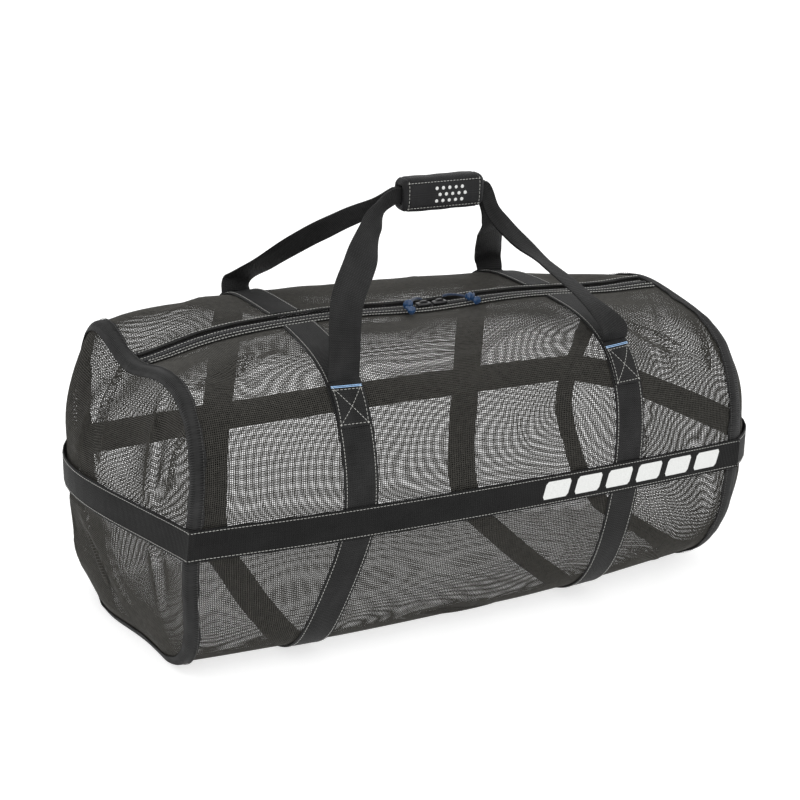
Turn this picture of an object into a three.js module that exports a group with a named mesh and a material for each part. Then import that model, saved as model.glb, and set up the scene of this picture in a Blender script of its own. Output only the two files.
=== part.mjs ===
// Mesh dive gear bag: a barrel-shaped duffel of open net with webbing straps, a band, a zipper and two handles.
// Millimetres, +Z up, the long side along X, the front towards -Y. The origin is under the middle of the bag.
import * as THREE from 'three';

// Net body: its length between the end seams, and its width and height at the middle
const LENGTH = 750;
const WIDTH = 404;
const HEIGHT = 378;
const NET_T = 1.5;
const SETTLE = 5;
const END_BULGE = 60;

// Clearance between two sewn layers
const GAP = 0.5;

// Webbing
const WEBBING_T = 2;
const STRAP_W = 44;
const HANDLE_W = 40;
const BAND_W = 40;
const BAND_BELOW_MIDDLE = 3;
const BAND_Z = HEIGHT / 2 - BAND_BELOW_MIDDLE;

// Tape folded round each end seam: how far it reaches from the seam to each side
const BINDING_W = 10;
const BINDING_T = 2;

// Zipper opening along the top
const SLOT_W = 26;
const SLOT_Y = 12;
const HEM_W = 11;
const HEM_T = 2.2;
const ZIP_TAPE_LAP = 8;
const ZIP_TAPE_T = 1.2;
const COIL_W = 7;
const COIL_H = 2.6;
const SLIDER_L = 20;
const SLIDER_W = 12;
const SLIDER_H = 6;
const SLIDER_MEET_X = 29;
const SLIDER_APART = 3;
const PULL_R = 2.1;
const PULL_END_R = 4.6;
const PULL_L = 42;

// Padded wrap round both handles: its middle is over GRIP_X, its bore takes the folded webbings with GRIP_EASE to
// spare, and the legs run level for GRIP_LEAD outside it
const GRIP_X = 26;
const GRIP_RISE = 141;
const GRIP_Z = HEIGHT + GRIP_RISE;
const GRIP_L = 114;
const GRIP_H = 44;
const GRIP_D = 31;
const GRIP_EASE = 1.3;
const GRIP_LEAD = 5;
const FOLD = 0.5;

// How far the band hangs below BAND_Z at the corners that it goes round in turn, as shares of HEIGHT
const BAND_ROWS = [
  { corner: 0, drop: 0 },
  { corner: 1, drop: 0 },
  { corner: 2, drop: 0.004 },
  { corner: 3, drop: 0.014 },
  { corner: 4, drop: 0 },
];

// Where each handle is sewn down: the crossed box starts and ends this far below the top of the bag
const BOX_LOW_DROP = 76;
const BOX_TOP_DROP = 33;
const BOX_LOW_Z = HEIGHT - BOX_LOW_DROP;
const BOX_TOP_Z = HEIGHT - BOX_TOP_DROP;

// How finely the pieces are divided
const STEPS_LONG = 18;
const STEPS_ROUND = 40;
const STEPS_LEG = 14;
const STEPS_BOX = 6;

// Sections along the body: place and sizes are shares of LENGTH, WIDTH and HEIGHT, front and back are how full
// the corners are on each side
const BODY_ROWS = [
  { along: -0.5, width: 0.94, height: 0.945, front: 3.6, back: 6.5 },
  { along: -0.25, width: 0.985, height: 0.985, front: 3.9, back: 7 },
  { along: 0, width: 1, height: 1, front: 4, back: 7 },
  { along: 0.25, width: 0.985, height: 0.985, front: 3.4, back: 5 },
  { along: 0.5, width: 0.94, height: 0.945, front: 2.6, back: 2.9 },
];

// End panels: bulge is a share of END_BULGE, square is how flat the dome is, lean is how much more it swells at
// the back than at the front, and droop how much more at the bottom than at the top
const END_ROWS = {
  '-1': { bulge: 0.82, square: 2.3, lean: 0.7, droop: 0.04 },
  1: { bulge: 1, square: 4, lean: -0.3, droop: 0.1 },
};

// How the slack seams leave their even shape: a place as shares of LENGTH, WIDTH and HEIGHT, how far round it the
// cloth follows, and how far it goes along X, Y and Z, as shares of HEIGHT
const PUSH_ROWS = [
  { along: -0.5, across: 0.14, up: 0, reach: 0.2, by_x: -0.05, by_y: 0, by_z: 0 },
  { along: -0.5, across: 0.47, up: 0.1, reach: 0.26, by_x: 0.035, by_y: -0.03, by_z: 0 },
  { along: -0.5, across: -0.43, up: 0.38, reach: 0.24, by_x: -0.025, by_y: 0.015, by_z: 0 },
  { along: -0.5, across: 0.25, up: 0.97, reach: 0.17, by_x: 0, by_y: 0, by_z: 0.024 },
  { along: -0.5, across: 0.06, up: 0.95, reach: 0.19, by_x: 0, by_y: 0, by_z: -0.045 },
  { along: -0.5, across: -0.32, up: 0.9, reach: 0.2, by_x: 0, by_y: -0.016, by_z: 0.026 },
  { along: -0.4, across: 0.35, up: 0.97, reach: 0.25, by_x: 0, by_y: 0, by_z: 0.018 },
  { along: -0.5, across: 0.46, up: 0.88, reach: 0.2, by_x: 0, by_y: -0.03, by_z: -0.012 },
  { along: 0.5, across: 0.5, up: 0.37, reach: 0.16, by_x: -0.03, by_y: 0.012, by_z: 0 },
  { along: 0.5, across: 0.46, up: 0.7, reach: 0.17, by_x: 0.03, by_y: -0.02, by_z: 0 },
  { along: 0.5, across: 0.07, up: 0.97, reach: 0.18, by_x: 0, by_y: 0, by_z: 0.028 },
  { along: 0.5, across: -0.34, up: 0.88, reach: 0.2, by_x: 0, by_y: -0.014, by_z: 0.018 },
];

// The floor holds the cloth's height, less and less up to here
const CLEAR_OF_FLOOR = 60;

// Slack dents in the net: place as a share of LENGTH and a turn in degrees from the top towards the front,
// reach as a share of LENGTH and in degrees, depth as a share of WIDTH
const DENT_ROWS = [
  { along: 0.02, turn: 6, reach: 0.13, spread: 24, depth: 0.022 },
  { along: 0.0, turn: 42, reach: 0.11, spread: 15, depth: 0.03 },
  { along: -0.39, turn: 40, reach: 0.05, spread: 12, depth: 0.016 },
  { along: 0.41, turn: 46, reach: 0.05, spread: 9, depth: 0.022 },
  { along: -0.02, turn: 128, reach: 0.12, spread: 10, depth: 0.016 },
  { along: 0.02, turn: 318, reach: 0.12, spread: 14, depth: 0.022 },
  { along: 0.42, turn: 312, reach: 0.04, spread: 12, depth: 0.014 },
];

// Dents in the end panels: place as shares of the half width and half height, depth as a share of END_BULGE
const END_DENT_ROWS = [
  { end: -1, across: -0.3, up: 0.5, reach: 0.24, depth: 0.22 },
  { end: -1, across: 0.35, up: -0.45, reach: 0.28, depth: 0.2 },
  { end: 1, across: 0.3, up: 0.45, reach: 0.25, depth: 0.22 },
  { end: 1, across: -0.25, up: -0.5, reach: 0.25, depth: 0.18 },
];

// Each strap's drift to the side as it goes round the bag, in shares of LENGTH: round is 0 at the front hem,
// 0.5 under the bottom and 1 at the back hem
const STRAP_ROWS = {
  strap_left: [
    { round: 0, drift: -0.226 },
    { round: 0.12, drift: -0.246 },
    { round: 0.25, drift: -0.238 },
    { round: 0.36, drift: -0.292 },
    { round: 0.5, drift: -0.29 },
    { round: 0.64, drift: -0.262 },
    { round: 0.76, drift: -0.25 },
    { round: 0.88, drift: -0.228 },
    { round: 1, drift: -0.222 },
  ],
  strap_right: [
    { round: 0, drift: 0.278 },
    { round: 0.12, drift: 0.268 },
    { round: 0.25, drift: 0.266 },
    { round: 0.36, drift: 0.242 },
    { round: 0.5, drift: 0.24 },
    { round: 0.64, drift: 0.26 },
    { round: 0.76, drift: 0.268 },
    { round: 0.88, drift: 0.272 },
    { round: 1, drift: 0.276 },
  ],
};

// Each handle leg between its sewn box and the grip: the way covered towards the grip along X, Y and Z, the share of
// its width left after folding, and the direction that the webbing's width points in
const LEG_ROWS = {
  front_left: [
    { to_x: 0, to_y: 0, to_z: 0.18, width: 1, wide_x: 1, wide_y: -0.05, wide_z: -0.1 },
    { to_x: 0.1, to_y: 0.17, to_z: 0.48, width: 1, wide_x: 0.95, wide_y: -0.2, wide_z: -0.2 },
    { to_x: 0.4, to_y: 0.5, to_z: 0.68, width: 1, wide_x: 0.9, wide_y: -0.3, wide_z: -0.3 },
    { to_x: 0.68, to_y: 0.83, to_z: 0.84, width: 0.75, wide_x: 0.6, wide_y: -0.3, wide_z: -0.7 },
    { to_x: 0.87, to_y: 0.985, to_z: 0.95, width: 0.5, wide_x: 0, wide_y: 0, wide_z: -1 },
  ],
  front_right: [
    { to_x: 0.05, to_y: -0.03, to_z: 0.11, width: 1, wide_x: 1, wide_y: -0.1, wide_z: 0 },
    { to_x: 0.29, to_y: 0.25, to_z: 0.34, width: 1, wide_x: 0.7, wide_y: -0.6, wide_z: 0 },
    { to_x: 0.49, to_y: 0.58, to_z: 0.5, width: 0.9, wide_x: 0.6, wide_y: -0.7, wide_z: 0 },
    { to_x: 0.69, to_y: 0.86, to_z: 0.66, width: 0.68, wide_x: 0.8, wide_y: -0.35, wide_z: -0.3 },
    { to_x: 0.88, to_y: 0.975, to_z: 0.83, width: 0.5, wide_x: 0.8, wide_y: 0, wide_z: -0.6 },
    { to_x: 0.96, to_y: 0.99, to_z: 0.955, width: 0.5, wide_x: 0.4, wide_y: 0, wide_z: -0.9 },
  ],
  back_left: [
    { to_x: 0.04, to_y: -0.03, to_z: 0.09, width: 1, wide_x: 1, wide_y: -0.05, wide_z: -0.1 },
    { to_x: 0.2, to_y: 0.16, to_z: 0.27, width: 1, wide_x: 0.9, wide_y: -0.25, wide_z: -0.35 },
    { to_x: 0.41, to_y: 0.44, to_z: 0.52, width: 0.95, wide_x: 0.75, wide_y: -0.3, wide_z: -0.6 },
    { to_x: 0.63, to_y: 0.76, to_z: 0.76, width: 0.68, wide_x: 0.4, wide_y: -0.2, wide_z: -0.9 },
    { to_x: 0.85, to_y: 0.985, to_z: 0.93, width: 0.5, wide_x: 0, wide_y: 0, wide_z: -1 },
  ],
  back_right: [
    { to_x: 0, to_y: -0.03, to_z: 0.1, width: 1, wide_x: 1, wide_y: -0.05, wide_z: -0.1 },
    { to_x: 0.2, to_y: 0.2, to_z: 0.28, width: 1, wide_x: 0.9, wide_y: -0.25, wide_z: -0.35 },
    { to_x: 0.47, to_y: 0.54, to_z: 0.5, width: 0.95, wide_x: 0.9, wide_y: -0.3, wide_z: -0.4 },
    { to_x: 0.7, to_y: 0.83, to_z: 0.67, width: 0.68, wide_x: 0.9, wide_y: -0.25, wide_z: -0.3 },
    { to_x: 0.89, to_y: 0.975, to_z: 0.84, width: 0.5, wide_x: 0.8, wide_y: 0, wide_z: -0.6 },
    { to_x: 0.96, to_y: 0.99, to_z: 0.955, width: 0.5, wide_x: 0.4, wide_y: 0, wide_z: -0.9 },
  ],
};

// Colours of the finished pieces
const BLACK_NET = new THREE.MeshStandardMaterial({ color: 0x4a4a48, roughness: 0.85, metalness: 0 });
const BLACK_WEBBING = new THREE.MeshStandardMaterial({ color: 0x262625, roughness: 0.8, metalness: 0 });
const GRIP_CLOTH = new THREE.MeshStandardMaterial({ color: 0x1e1e1f, roughness: 0.7, metalness: 0 });
const ZIPPER_CLOTH = new THREE.MeshStandardMaterial({ color: 0x202022, roughness: 0.85, metalness: 0 });
const BLACK_PLASTIC = new THREE.MeshStandardMaterial({ color: 0x1a1a1c, roughness: 0.45, metalness: 0 });
const BLUE_PLASTIC = new THREE.MeshStandardMaterial({ color: 0x24477f, roughness: 0.5, metalness: 0 });

const BASE_Z = WEBBING_T + GAP;
const HALF_TURN = Math.PI;
const HALF_CIRCLE = 180;
const DEGREE = Math.PI / HALF_CIRCLE;

// Smooth value of one column of a table at a place given by its key column
function blend(rows, key, column, place) {
  let i = 0;
  while (i < rows.length - 2 && place > rows[i + 1][key]) i += 1;
  const before = rows[Math.max(0, i - 1)];
  const from = rows[i];
  const to = rows[i + 1];
  const after = rows[Math.min(rows.length - 1, i + 2)];
  const span = to[key] - from[key];
  const t = THREE.MathUtils.clamp((place - from[key]) / span, 0, 1);
  const slopeFrom = span * (to[column] - before[column]) / (to[key] - before[key]);
  const slopeTo = span * (after[column] - from[column]) / (after[key] - from[key]);
  const a = 2 * t ** 3 - 3 * t ** 2 + 1;
  const b = t ** 3 - 2 * t ** 2 + t;
  const c = 3 * t ** 2 - 2 * t ** 3;
  const d = t ** 3 - t ** 2;
  return a * from[column] + b * slopeFrom + c * to[column] + d * slopeTo;
}

function evenSteps(count) {
  return Array.from({ length: count + 1 }, (_, i) => i / count);
}

// Half width, half height and fullness of the body's section at a share of its length
function sectionAt(along) {
  return {
    halfW: WIDTH / 2 * blend(BODY_ROWS, 'along', 'width', along),
    halfH: HEIGHT / 2 * blend(BODY_ROWS, 'along', 'height', along),
    front: blend(BODY_ROWS, 'along', 'front', along),
    back: blend(BODY_ROWS, 'along', 'back', along),
  };
}

// Distance from the section's middle to its outline; the turn is 0 at the top and a quarter turn at the front
function reachAt(section, turn) {
  const square = Math.sin(turn) > 0 ? section.front : section.back;
  const across = Math.abs(Math.sin(turn) / section.halfW) ** square;
  const up = Math.abs(Math.cos(turn) / section.halfH) ** square;
  return (across + up) ** (-1 / square);
}

function dentAt(along, turn) {
  let depth = 0;
  for (const row of DENT_ROWS) {
    const far = (along - row.along) / row.reach;
    const past = THREE.MathUtils.euclideanModulo(turn / DEGREE - row.turn + HALF_CIRCLE, 2 * HALF_CIRCLE);
    const round = (past - HALF_CIRCLE) / row.spread;
    depth += WIDTH * row.depth * Math.exp(-(far ** 2) - round ** 2);
  }
  return depth;
}

// A point of the even shape where the slack cloth has it; what lies on the floor stays flat
function pushed(point) {
  const moved = point.clone();
  for (const row of PUSH_ROWS) {
    const x = point.x - row.along * LENGTH;
    const y = point.y - row.across * WIDTH;
    const z = point.z - row.up * HEIGHT;
    const part = HEIGHT * Math.exp(-(x * x + y * y + z * z) / (row.reach * HEIGHT) ** 2);
    const free = THREE.MathUtils.smoothstep(point.z, 0, CLEAR_OF_FLOOR);
    moved.add(new THREE.Vector3(row.by_x, row.by_y, row.by_z * free).multiplyScalar(part));
  }
  return moved;
}

// Outline of the net's outer face before dents, settled flat where the bag stands
function outlineAt(along, turn) {
  const section = sectionAt(along);
  const reach = reachAt(section, turn);
  const z = section.halfH + reach * Math.cos(turn) - SETTLE;
  return new THREE.Vector2(-reach * Math.sin(turn), BASE_Z + Math.max(0, z));
}

// A point at a distance out of the net's outer face
function skin(along, turn, out = 0) {
  const nudge = 0.01;
  const at = outlineAt(along, turn);
  const way = outlineAt(along, turn + nudge).sub(outlineAt(along, turn - nudge)).normalize();
  const lift = out - dentAt(along, turn);
  return new THREE.Vector3(along * LENGTH, at.x + way.y * lift, at.y - way.x * lift);
}

// The turn at which the outline passes a value of Y on the top, or a value of Z on a side
function turnOnTop(along, y) {
  let low = -HALF_TURN / 4;
  let high = HALF_TURN / 4;
  for (let i = 0; i < 40; i += 1) {
    const middle = (low + high) / 2;
    if (outlineAt(along, middle).x > y) low = middle;
    else high = middle;
  }
  return (low + high) / 2;
}

function turnOnSide(along, z, side) {
  let low = 0.02;
  let high = HALF_TURN * 0.8;
  for (let i = 0; i < 40; i += 1) {
    const middle = (low + high) / 2;
    if (outlineAt(along, middle).y > z) low = middle;
    else high = middle;
  }
  const turn = (low + high) / 2;
  return side < 0 ? turn : 2 * HALF_TURN - turn;
}

// Turn at a share of the way round, from the front hem's outer edge to the back hem's
function turnRound(along, round) {
  const front = turnOnTop(along, SLOT_Y - SLOT_W / 2 - HEM_W);
  const back = 2 * HALF_TURN + turnOnTop(along, SLOT_Y + SLOT_W / 2 + HEM_W);
  return front + (back - front) * round;
}

// Turns at which every piece that goes round the bag is divided, from one edge of the opening to the other
function turnsRound(along) {
  const front = turnOnTop(along, SLOT_Y - SLOT_W / 2);
  const back = 2 * HALF_TURN + turnOnTop(along, SLOT_Y + SLOT_W / 2);
  return [front, ...evenSteps(STEPS_ROUND).map((round) => turnRound(along, round)), back];
}

// The same turns with the one over the middle of the opening, which close the round
function turnsClosed(along) {
  return [...turnsRound(along), 2 * HALF_TURN + turnOnTop(along, SLOT_Y)];
}

// Closed body from points and triangles, turned so that its faces point out
function closedBody(points, triangles) {
  let volume = 0;
  for (const [a, b, c] of triangles) {
    volume += points[a].dot(new THREE.Vector3().crossVectors(points[b], points[c]));
  }
  const turned = volume < 0 ? triangles.map(([a, b, c]) => [a, c, b]) : triangles;
  const geometry = new THREE.BufferGeometry();
  geometry.setAttribute('position', new THREE.Float32BufferAttribute(points.flatMap((p) => p.toArray()), 3));
  geometry.setIndex(turned.flat());
  geometry.computeVertexNormals();
  return geometry;
}

// A sheet with thickness: two grids of the same size joined along their free edges
function sheetBody(outer, inner, { round = false } = {}) {
  const rows = outer.length;
  const columns = outer[0].length;
  const points = [...outer.flat(), ...inner.flat()];
  const triangles = [];
  const quad = (a, b, c, d) => triangles.push([a, b, c], [a, c, d]);
  const top = (i, j) => i * columns + j % columns;
  const under = (i, j) => rows * columns + top(i, j);
  const lastColumn = round ? columns : columns - 1;
  for (let i = 0; i < rows - 1; i += 1) {
    for (let j = 0; j < lastColumn; j += 1) {
      quad(top(i, j), top(i + 1, j), top(i + 1, j + 1), top(i, j + 1));
      quad(under(i, j), under(i, j + 1), under(i + 1, j + 1), under(i + 1, j));
    }
    if (!round) {
      quad(top(i, 0), under(i, 0), under(i + 1, 0), top(i + 1, 0));
      quad(top(i + 1, lastColumn), under(i + 1, lastColumn), under(i, lastColumn), top(i, lastColumn));
    }
  }
  for (let j = 0; j < lastColumn; j += 1) {
    quad(top(0, j + 1), under(0, j + 1), under(0, j), top(0, j));
    quad(top(rows - 1, j), under(rows - 1, j), under(rows - 1, j + 1), top(rows - 1, j + 1));
  }
  return closedBody(points, triangles);
}

// A bar through a row of loops, closed on itself or with flat ends
function barBody(loops, { closed = false } = {}) {
  const size = loops[0].length;
  const points = loops.flat();
  const triangles = [];
  const spans = closed ? loops.length : loops.length - 1;
  for (let i = 0; i < spans; i += 1) {
    const next = (i + 1) % loops.length;
    for (let k = 0; k < size; k += 1) {
      const turn = (k + 1) % size;
      triangles.push([i * size + k, next * size + k, next * size + turn]);
      triangles.push([i * size + k, next * size + turn, i * size + turn]);
    }
  }
  if (!closed) {
    const last = (loops.length - 1) * size;
    for (let k = 1; k < size - 1; k += 1) {
      triangles.push([0, k, k + 1]);
      triangles.push([last, last + k + 1, last + k]);
    }
  }
  return closedBody(points, triangles);
}

// Net wrap, from one edge of the zipper opening round to the other
function bodyWrap() {
  const inner = 0.5 - BINDING_W / LENGTH;
  const stations = [...evenSteps(STEPS_LONG).map((t) => t - 0.5), -inner, inner].sort((a, b) => a - b);
  const wall = (out) => stations.map((along) => turnsRound(along).map((turn) => skin(along, turn, out)));
  return sheetBody(wall(0), wall(-NET_T));
}

// Height of an end panel's outer face over the end seam's plane, at a share of the way from its middle to its rim
function endRise(end, across, up, share) {
  const dome = END_ROWS[end];
  let rise = END_BULGE * dome.bulge * (1 - share ** dome.square);
  rise *= 1 + dome.lean * across - dome.droop * up;
  for (const row of END_DENT_ROWS) {
    if (row.end !== end) continue;
    const far = ((across - row.across) ** 2 + (up - row.up) ** 2) / row.reach ** 2;
    rise -= END_BULGE * row.depth * Math.exp(-far) * (1 - share ** 2);
  }
  return rise;
}

// A point at a distance out of an end panel's outer face
function endSkin(end, turn, share, out = 0) {
  const along = end / 2;
  const section = sectionAt(along);
  const middle = BASE_Z + section.halfH - SETTLE;
  const rim = outlineAt(along, turn);
  const y = rim.x * share;
  const z = middle + (rim.y - middle) * share;
  const spot = (s) => endRise(end, rim.x * s / section.halfW, (rim.y - middle) * s / section.halfH, s);
  const nudge = 0.01;
  const radius = Math.hypot(rim.x, rim.y - middle);
  const slope = (spot(share + nudge) - spot(Math.abs(share - nudge))) / (radius * 2 * nudge);
  const length = Math.hypot(1, slope);
  const side = -slope / length * out / radius;
  const x = LENGTH / 2 + GAP + NET_T + spot(share) + out / length;
  return new THREE.Vector3(end * x, y + rim.x * side, z + (rim.y - middle) * side);
}

// The share at which the binding's inner leg ends on an end panel
function bindingShare(end, turn) {
  return 1 - BINDING_W / reachAt(sectionAt(end / 2), turn);
}

// Net end panel, domed outwards
function endPanel(end) {
  const turns = turnsClosed(end / 2);
  const shares = [0.86, 0.7, 0.5, 0.28, 0.08];
  const wall = (out) => turns.map((turn) => {
    const fromRim = [1, bindingShare(end, turn), ...shares];
    return fromRim.map((share) => endSkin(end, turn, share, out));
  });
  const outer = wall(0);
  const inner = wall(0).map((line) => line.map((p) => p.clone().setX(p.x - end * NET_T)));
  const columns = outer[0].length;
  const points = [...outer.flat(), ...inner.flat()];
  const offset = outer.length * columns;
  const triangles = [];
  const middleOut = points.push(endSkin(end, 0, 0)) - 1;
  const middleIn = points.push(points[middleOut].clone().setX(points[middleOut].x - end * NET_T)) - 1;
  for (let i = 0; i < turns.length; i += 1) {
    const here = i * columns;
    const next = (i + 1) % turns.length * columns;
    for (let j = 0; j < columns - 1; j += 1) {
      triangles.push([here + j, next + j, next + j + 1], [here + j, next + j + 1, here + j + 1]);
      triangles.push([offset + here + j, offset + next + j + 1, offset + next + j]);
      triangles.push([offset + here + j, offset + here + j + 1, offset + next + j + 1]);
    }
    const last = columns - 1;
    triangles.push([here + last, next + last, middleOut]);
    triangles.push([offset + next + last, offset + here + last, middleIn]);
    triangles.push([next, here, offset + here], [next, offset + here, offset + next]);
  }
  return closedBody(points, triangles);
}

// Tape folded over an end seam: one leg on the body and one on the end panel
function endBinding(end) {
  const side = end / 2 - end * BINDING_W / LENGTH;
  const sideTurns = turnsClosed(side);
  const loops = turnsClosed(end / 2).map((turn, i) => {
    const low = skin(side, sideTurns[i], GAP);
    const high = skin(side, sideTurns[i], GAP + BINDING_T);
    const cornerIn = skin(end / 2, turn, GAP);
    const cornerOut = skin(end / 2, turn, GAP + BINDING_T);
    const shoulder = cornerIn.clone();
    cornerIn.x = cornerOut.x = end * (LENGTH / 2 + GAP + NET_T + GAP);
    shoulder.x = cornerIn.x + end * BINDING_T;
    const panelLow = endSkin(end, turn, bindingShare(end, turn), GAP);
    const panelHigh = endSkin(end, turn, bindingShare(end, turn), GAP + BINDING_T);
    return [low, cornerIn, panelLow, panelHigh, shoulder, cornerOut, high];
  });
  return barBody(loops, { closed: true });
}

// Where a strap's middle is, as a share of LENGTH
function strapAlong(name, round) {
  return blend(STRAP_ROWS[name], 'round', 'drift', round);
}

// Webbing strap round the body, from the front hem under the bottom to the back hem
function strap(name) {
  const inset = GAP / LENGTH;
  const rounds = evenSteps(STEPS_ROUND).map((t) => inset + t * (1 - 2 * inset));
  const across = [-0.5, 0, 0.5];
  const face = (out) => across.map((share) => rounds.map((round) => {
    const along = strapAlong(name, round) + share * STRAP_W / LENGTH;
    return skin(along, turnRound(along, round), out);
  }));
  return sheetBody(face(GAP + WEBBING_T), face(GAP));
}

// One edge or line of the band: along the front, round one end, along the back and round the other end
function bandLine(share, out) {
  const line = [];
  const level = (corner) => BAND_Z + share * BAND_W - HEIGHT * blend(BAND_ROWS, 'corner', 'drop', corner);
  const ends = [1, 0.94, 0.84, 0.68, 0.46, 0.23, 0, -0.23, -0.46, -0.68, -0.84, -0.94, -1];
  const sides = [{ side: -1, from: -0.5, to: 0.5, corner: 0 }, { side: 1, from: 0.5, to: -0.5, corner: 2 }];
  for (const { side, from, to, corner } of sides) {
    for (const t of evenSteps(STEPS_LONG)) {
      const along = from + (to - from) * t;
      const z = level(corner + t);
      line.push(skin(along, turnOnSide(along, z, side), out).setZ(z));
    }
    const end = Math.sign(to);
    const section = sectionAt(to);
    const middle = BASE_Z + section.halfH - SETTLE;
    const shoulder = (z, way) => skin(to, turnOnSide(to, z, way), out)
      .setX(end * (LENGTH / 2 + GAP + NET_T + out)).setZ(z);
    line.push(shoulder(level(corner + 1), side));
    for (const t of ends) {
      const z = level(corner + 1 + (1 - t) / 2);
      const y = outlineAt(to, turnOnSide(to, z, side)).x * t;
      const turn = Math.atan2(-y, z - middle);
      const rim = outlineAt(to, turn);
      const reach = Math.hypot(y, z - middle) / Math.hypot(rim.x, rim.y - middle);
      line.push(endSkin(end, turn, Math.min(1, reach), out).setZ(z));
    }
    line.push(shoulder(level(corner + 2), -side));
  }
  return line;
}

// Webbing band round the whole bag, over the straps and the bindings
function band() {
  const inner = GAP + Math.max(WEBBING_T, BINDING_T) + GAP;
  const face = (out) => [-0.5, 0, 0.5].map((share) => bandLine(share, out));
  return sheetBody(face(inner + WEBBING_T), face(inner), { round: true });
}

// A strip along the top of the bag: edges is a loop of places, each a Y across the top and a distance out
function topStrip(edges) {
  const reach = 0.5 - GAP / LENGTH - BINDING_W / LENGTH;
  const loops = evenSteps(STEPS_LONG).map((t) => {
    const along = (2 * t - 1) * reach;
    return edges.map(({ y, out }) => skin(along, turnOnTop(along, y), out));
  });
  return barBody(loops);
}

// Tape hem along one edge of the zipper opening, with a ridge at the opening
function hem(side) {
  const edge = SLOT_Y + side * SLOT_W / 2;
  const outer = edge + side * (HEM_W - GAP);
  const ridge = edge + side * HEM_W / 3;
  return topStrip([
    { y: edge, out: GAP },
    { y: edge, out: GAP + HEM_T },
    { y: ridge, out: GAP + HEM_T * 1.3 },
    { y: outer, out: GAP + HEM_T / 2 },
    { y: outer, out: GAP },
    { y: ridge, out: GAP },
  ]);
}

const TAPE_TOP = -NET_T - GAP;
const COIL_BASE = TAPE_TOP + GAP;

// Zipper tape under both edges of the opening
function zipperTape() {
  const places = [-1, -0.5, 0, 0.5, 1].map((share) => SLOT_Y + share * (SLOT_W / 2 + ZIP_TAPE_LAP));
  const top = places.map((y) => ({ y, out: TAPE_TOP }));
  const under = places.map((y) => ({ y, out: TAPE_TOP - ZIP_TAPE_T })).reverse();
  return topStrip([...top, ...under]);
}

function zipperCoil() {
  return topStrip([
    { y: SLOT_Y - COIL_W / 2, out: COIL_BASE },
    { y: SLOT_Y - COIL_W / 2, out: COIL_BASE + COIL_H * 0.6 },
    { y: SLOT_Y - COIL_W / 4, out: COIL_BASE + COIL_H },
    { y: SLOT_Y + COIL_W / 4, out: COIL_BASE + COIL_H },
    { y: SLOT_Y + COIL_W / 2, out: COIL_BASE + COIL_H * 0.6 },
    { y: SLOT_Y + COIL_W / 2, out: COIL_BASE },
  ]);
}

// A point over the zipper's middle line
function overZipper(x, out) {
  const along = x / LENGTH;
  return skin(along, turnOnTop(along, SLOT_Y), out);
}

// Zipper slider: a tapered shell that rides on the coil, its nose towards the other slider
function slider(way) {
  const base = COIL_BASE + COIL_H + GAP;
  const stations = [
    { share: 0, width: 0.72, height: 0.6 },
    { share: 0.3, width: 1, height: 0.9 },
    { share: 0.75, width: 1, height: 1 },
    { share: 1, width: 0.8, height: 0.7 },
  ];
  const loops = stations.map(({ share, width, height }) => {
    const foot = overZipper(SLIDER_MEET_X + way * (SLIDER_APART / 2 + share * SLIDER_L), base);
    const half = SLIDER_W / 2 * width;
    const rise = SLIDER_H * height;
    return [[-1, 0], [-1, 0.6], [-0.55, 1], [0.55, 1], [1, 0.6], [1, 0]].map(
      ([across, up]) => foot.clone().add(new THREE.Vector3(0, across * half, up * rise)),
    );
  });
  return barBody(loops);
}

// Cord pull: a short cord from the slider's top over the hem, with a thick moulded end
const PULL_ROWS = [
  { share: 0, to_x: 0.1, to_y: 0, up: 0, radius: 0.9 },
  { share: 0.2, to_x: 0.3, to_y: -0.04, up: 0.04, radius: 1 },
  { share: 0.5, to_x: 0.55, to_y: -0.22, up: 0.05, radius: 1 },
  { share: 0.65, to_x: 0.66, to_y: -0.34, up: 0.04, radius: 1.1 },
  { share: 0.75, to_x: 0.74, to_y: -0.42, up: 0.04, radius: PULL_END_R / PULL_R },
  { share: 0.92, to_x: 0.84, to_y: -0.52, up: 0.03, radius: PULL_END_R / PULL_R },
  { share: 1, to_x: 0.9, to_y: -0.58, up: 0.03, radius: 1.2 },
];

function pull(way) {
  const sliderTop = COIL_BASE + COIL_H + GAP + SLIDER_H;
  const start = overZipper(SLIDER_MEET_X + way * (SLIDER_APART / 2 + SLIDER_L * 0.5), sliderTop + GAP + PULL_R);
  const places = PULL_ROWS.map((row) => start.clone().add(
    new THREE.Vector3(way * row.to_x, row.to_y, row.up).multiplyScalar(PULL_L),
  ));
  const path = new THREE.CatmullRomCurve3(places);
  const loops = evenSteps(16).map((t) => {
    const radius = PULL_R * blend(PULL_ROWS, 'share', 'radius', t);
    const ahead = path.getTangentAt(t);
    const aside = new THREE.Vector3(0, 0, 1).cross(ahead).normalize();
    const above = ahead.clone().cross(aside);
    return evenSteps(10).slice(0, -1).map((k) => path.getPointAt(t)
      .addScaledVector(aside, radius * Math.cos(k * 2 * HALF_TURN))
      .addScaledVector(above, radius * Math.sin(k * 2 * HALF_TURN)));
  });
  return barBody(loops);
}

// One flat piece of handle webbing at a place: its middle, the way its width points and its size
function webbingRow(middle, wide, face, width, thick) {
  const corner = (a, b) => middle.clone().addScaledVector(wide, a * width / 2).addScaledVector(face, b * thick / 2);
  return { outer: [corner(-1, 1), corner(0, 1), corner(1, 1)], inner: [corner(-1, -1), corner(0, -1), corner(1, -1)] };
}

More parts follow.
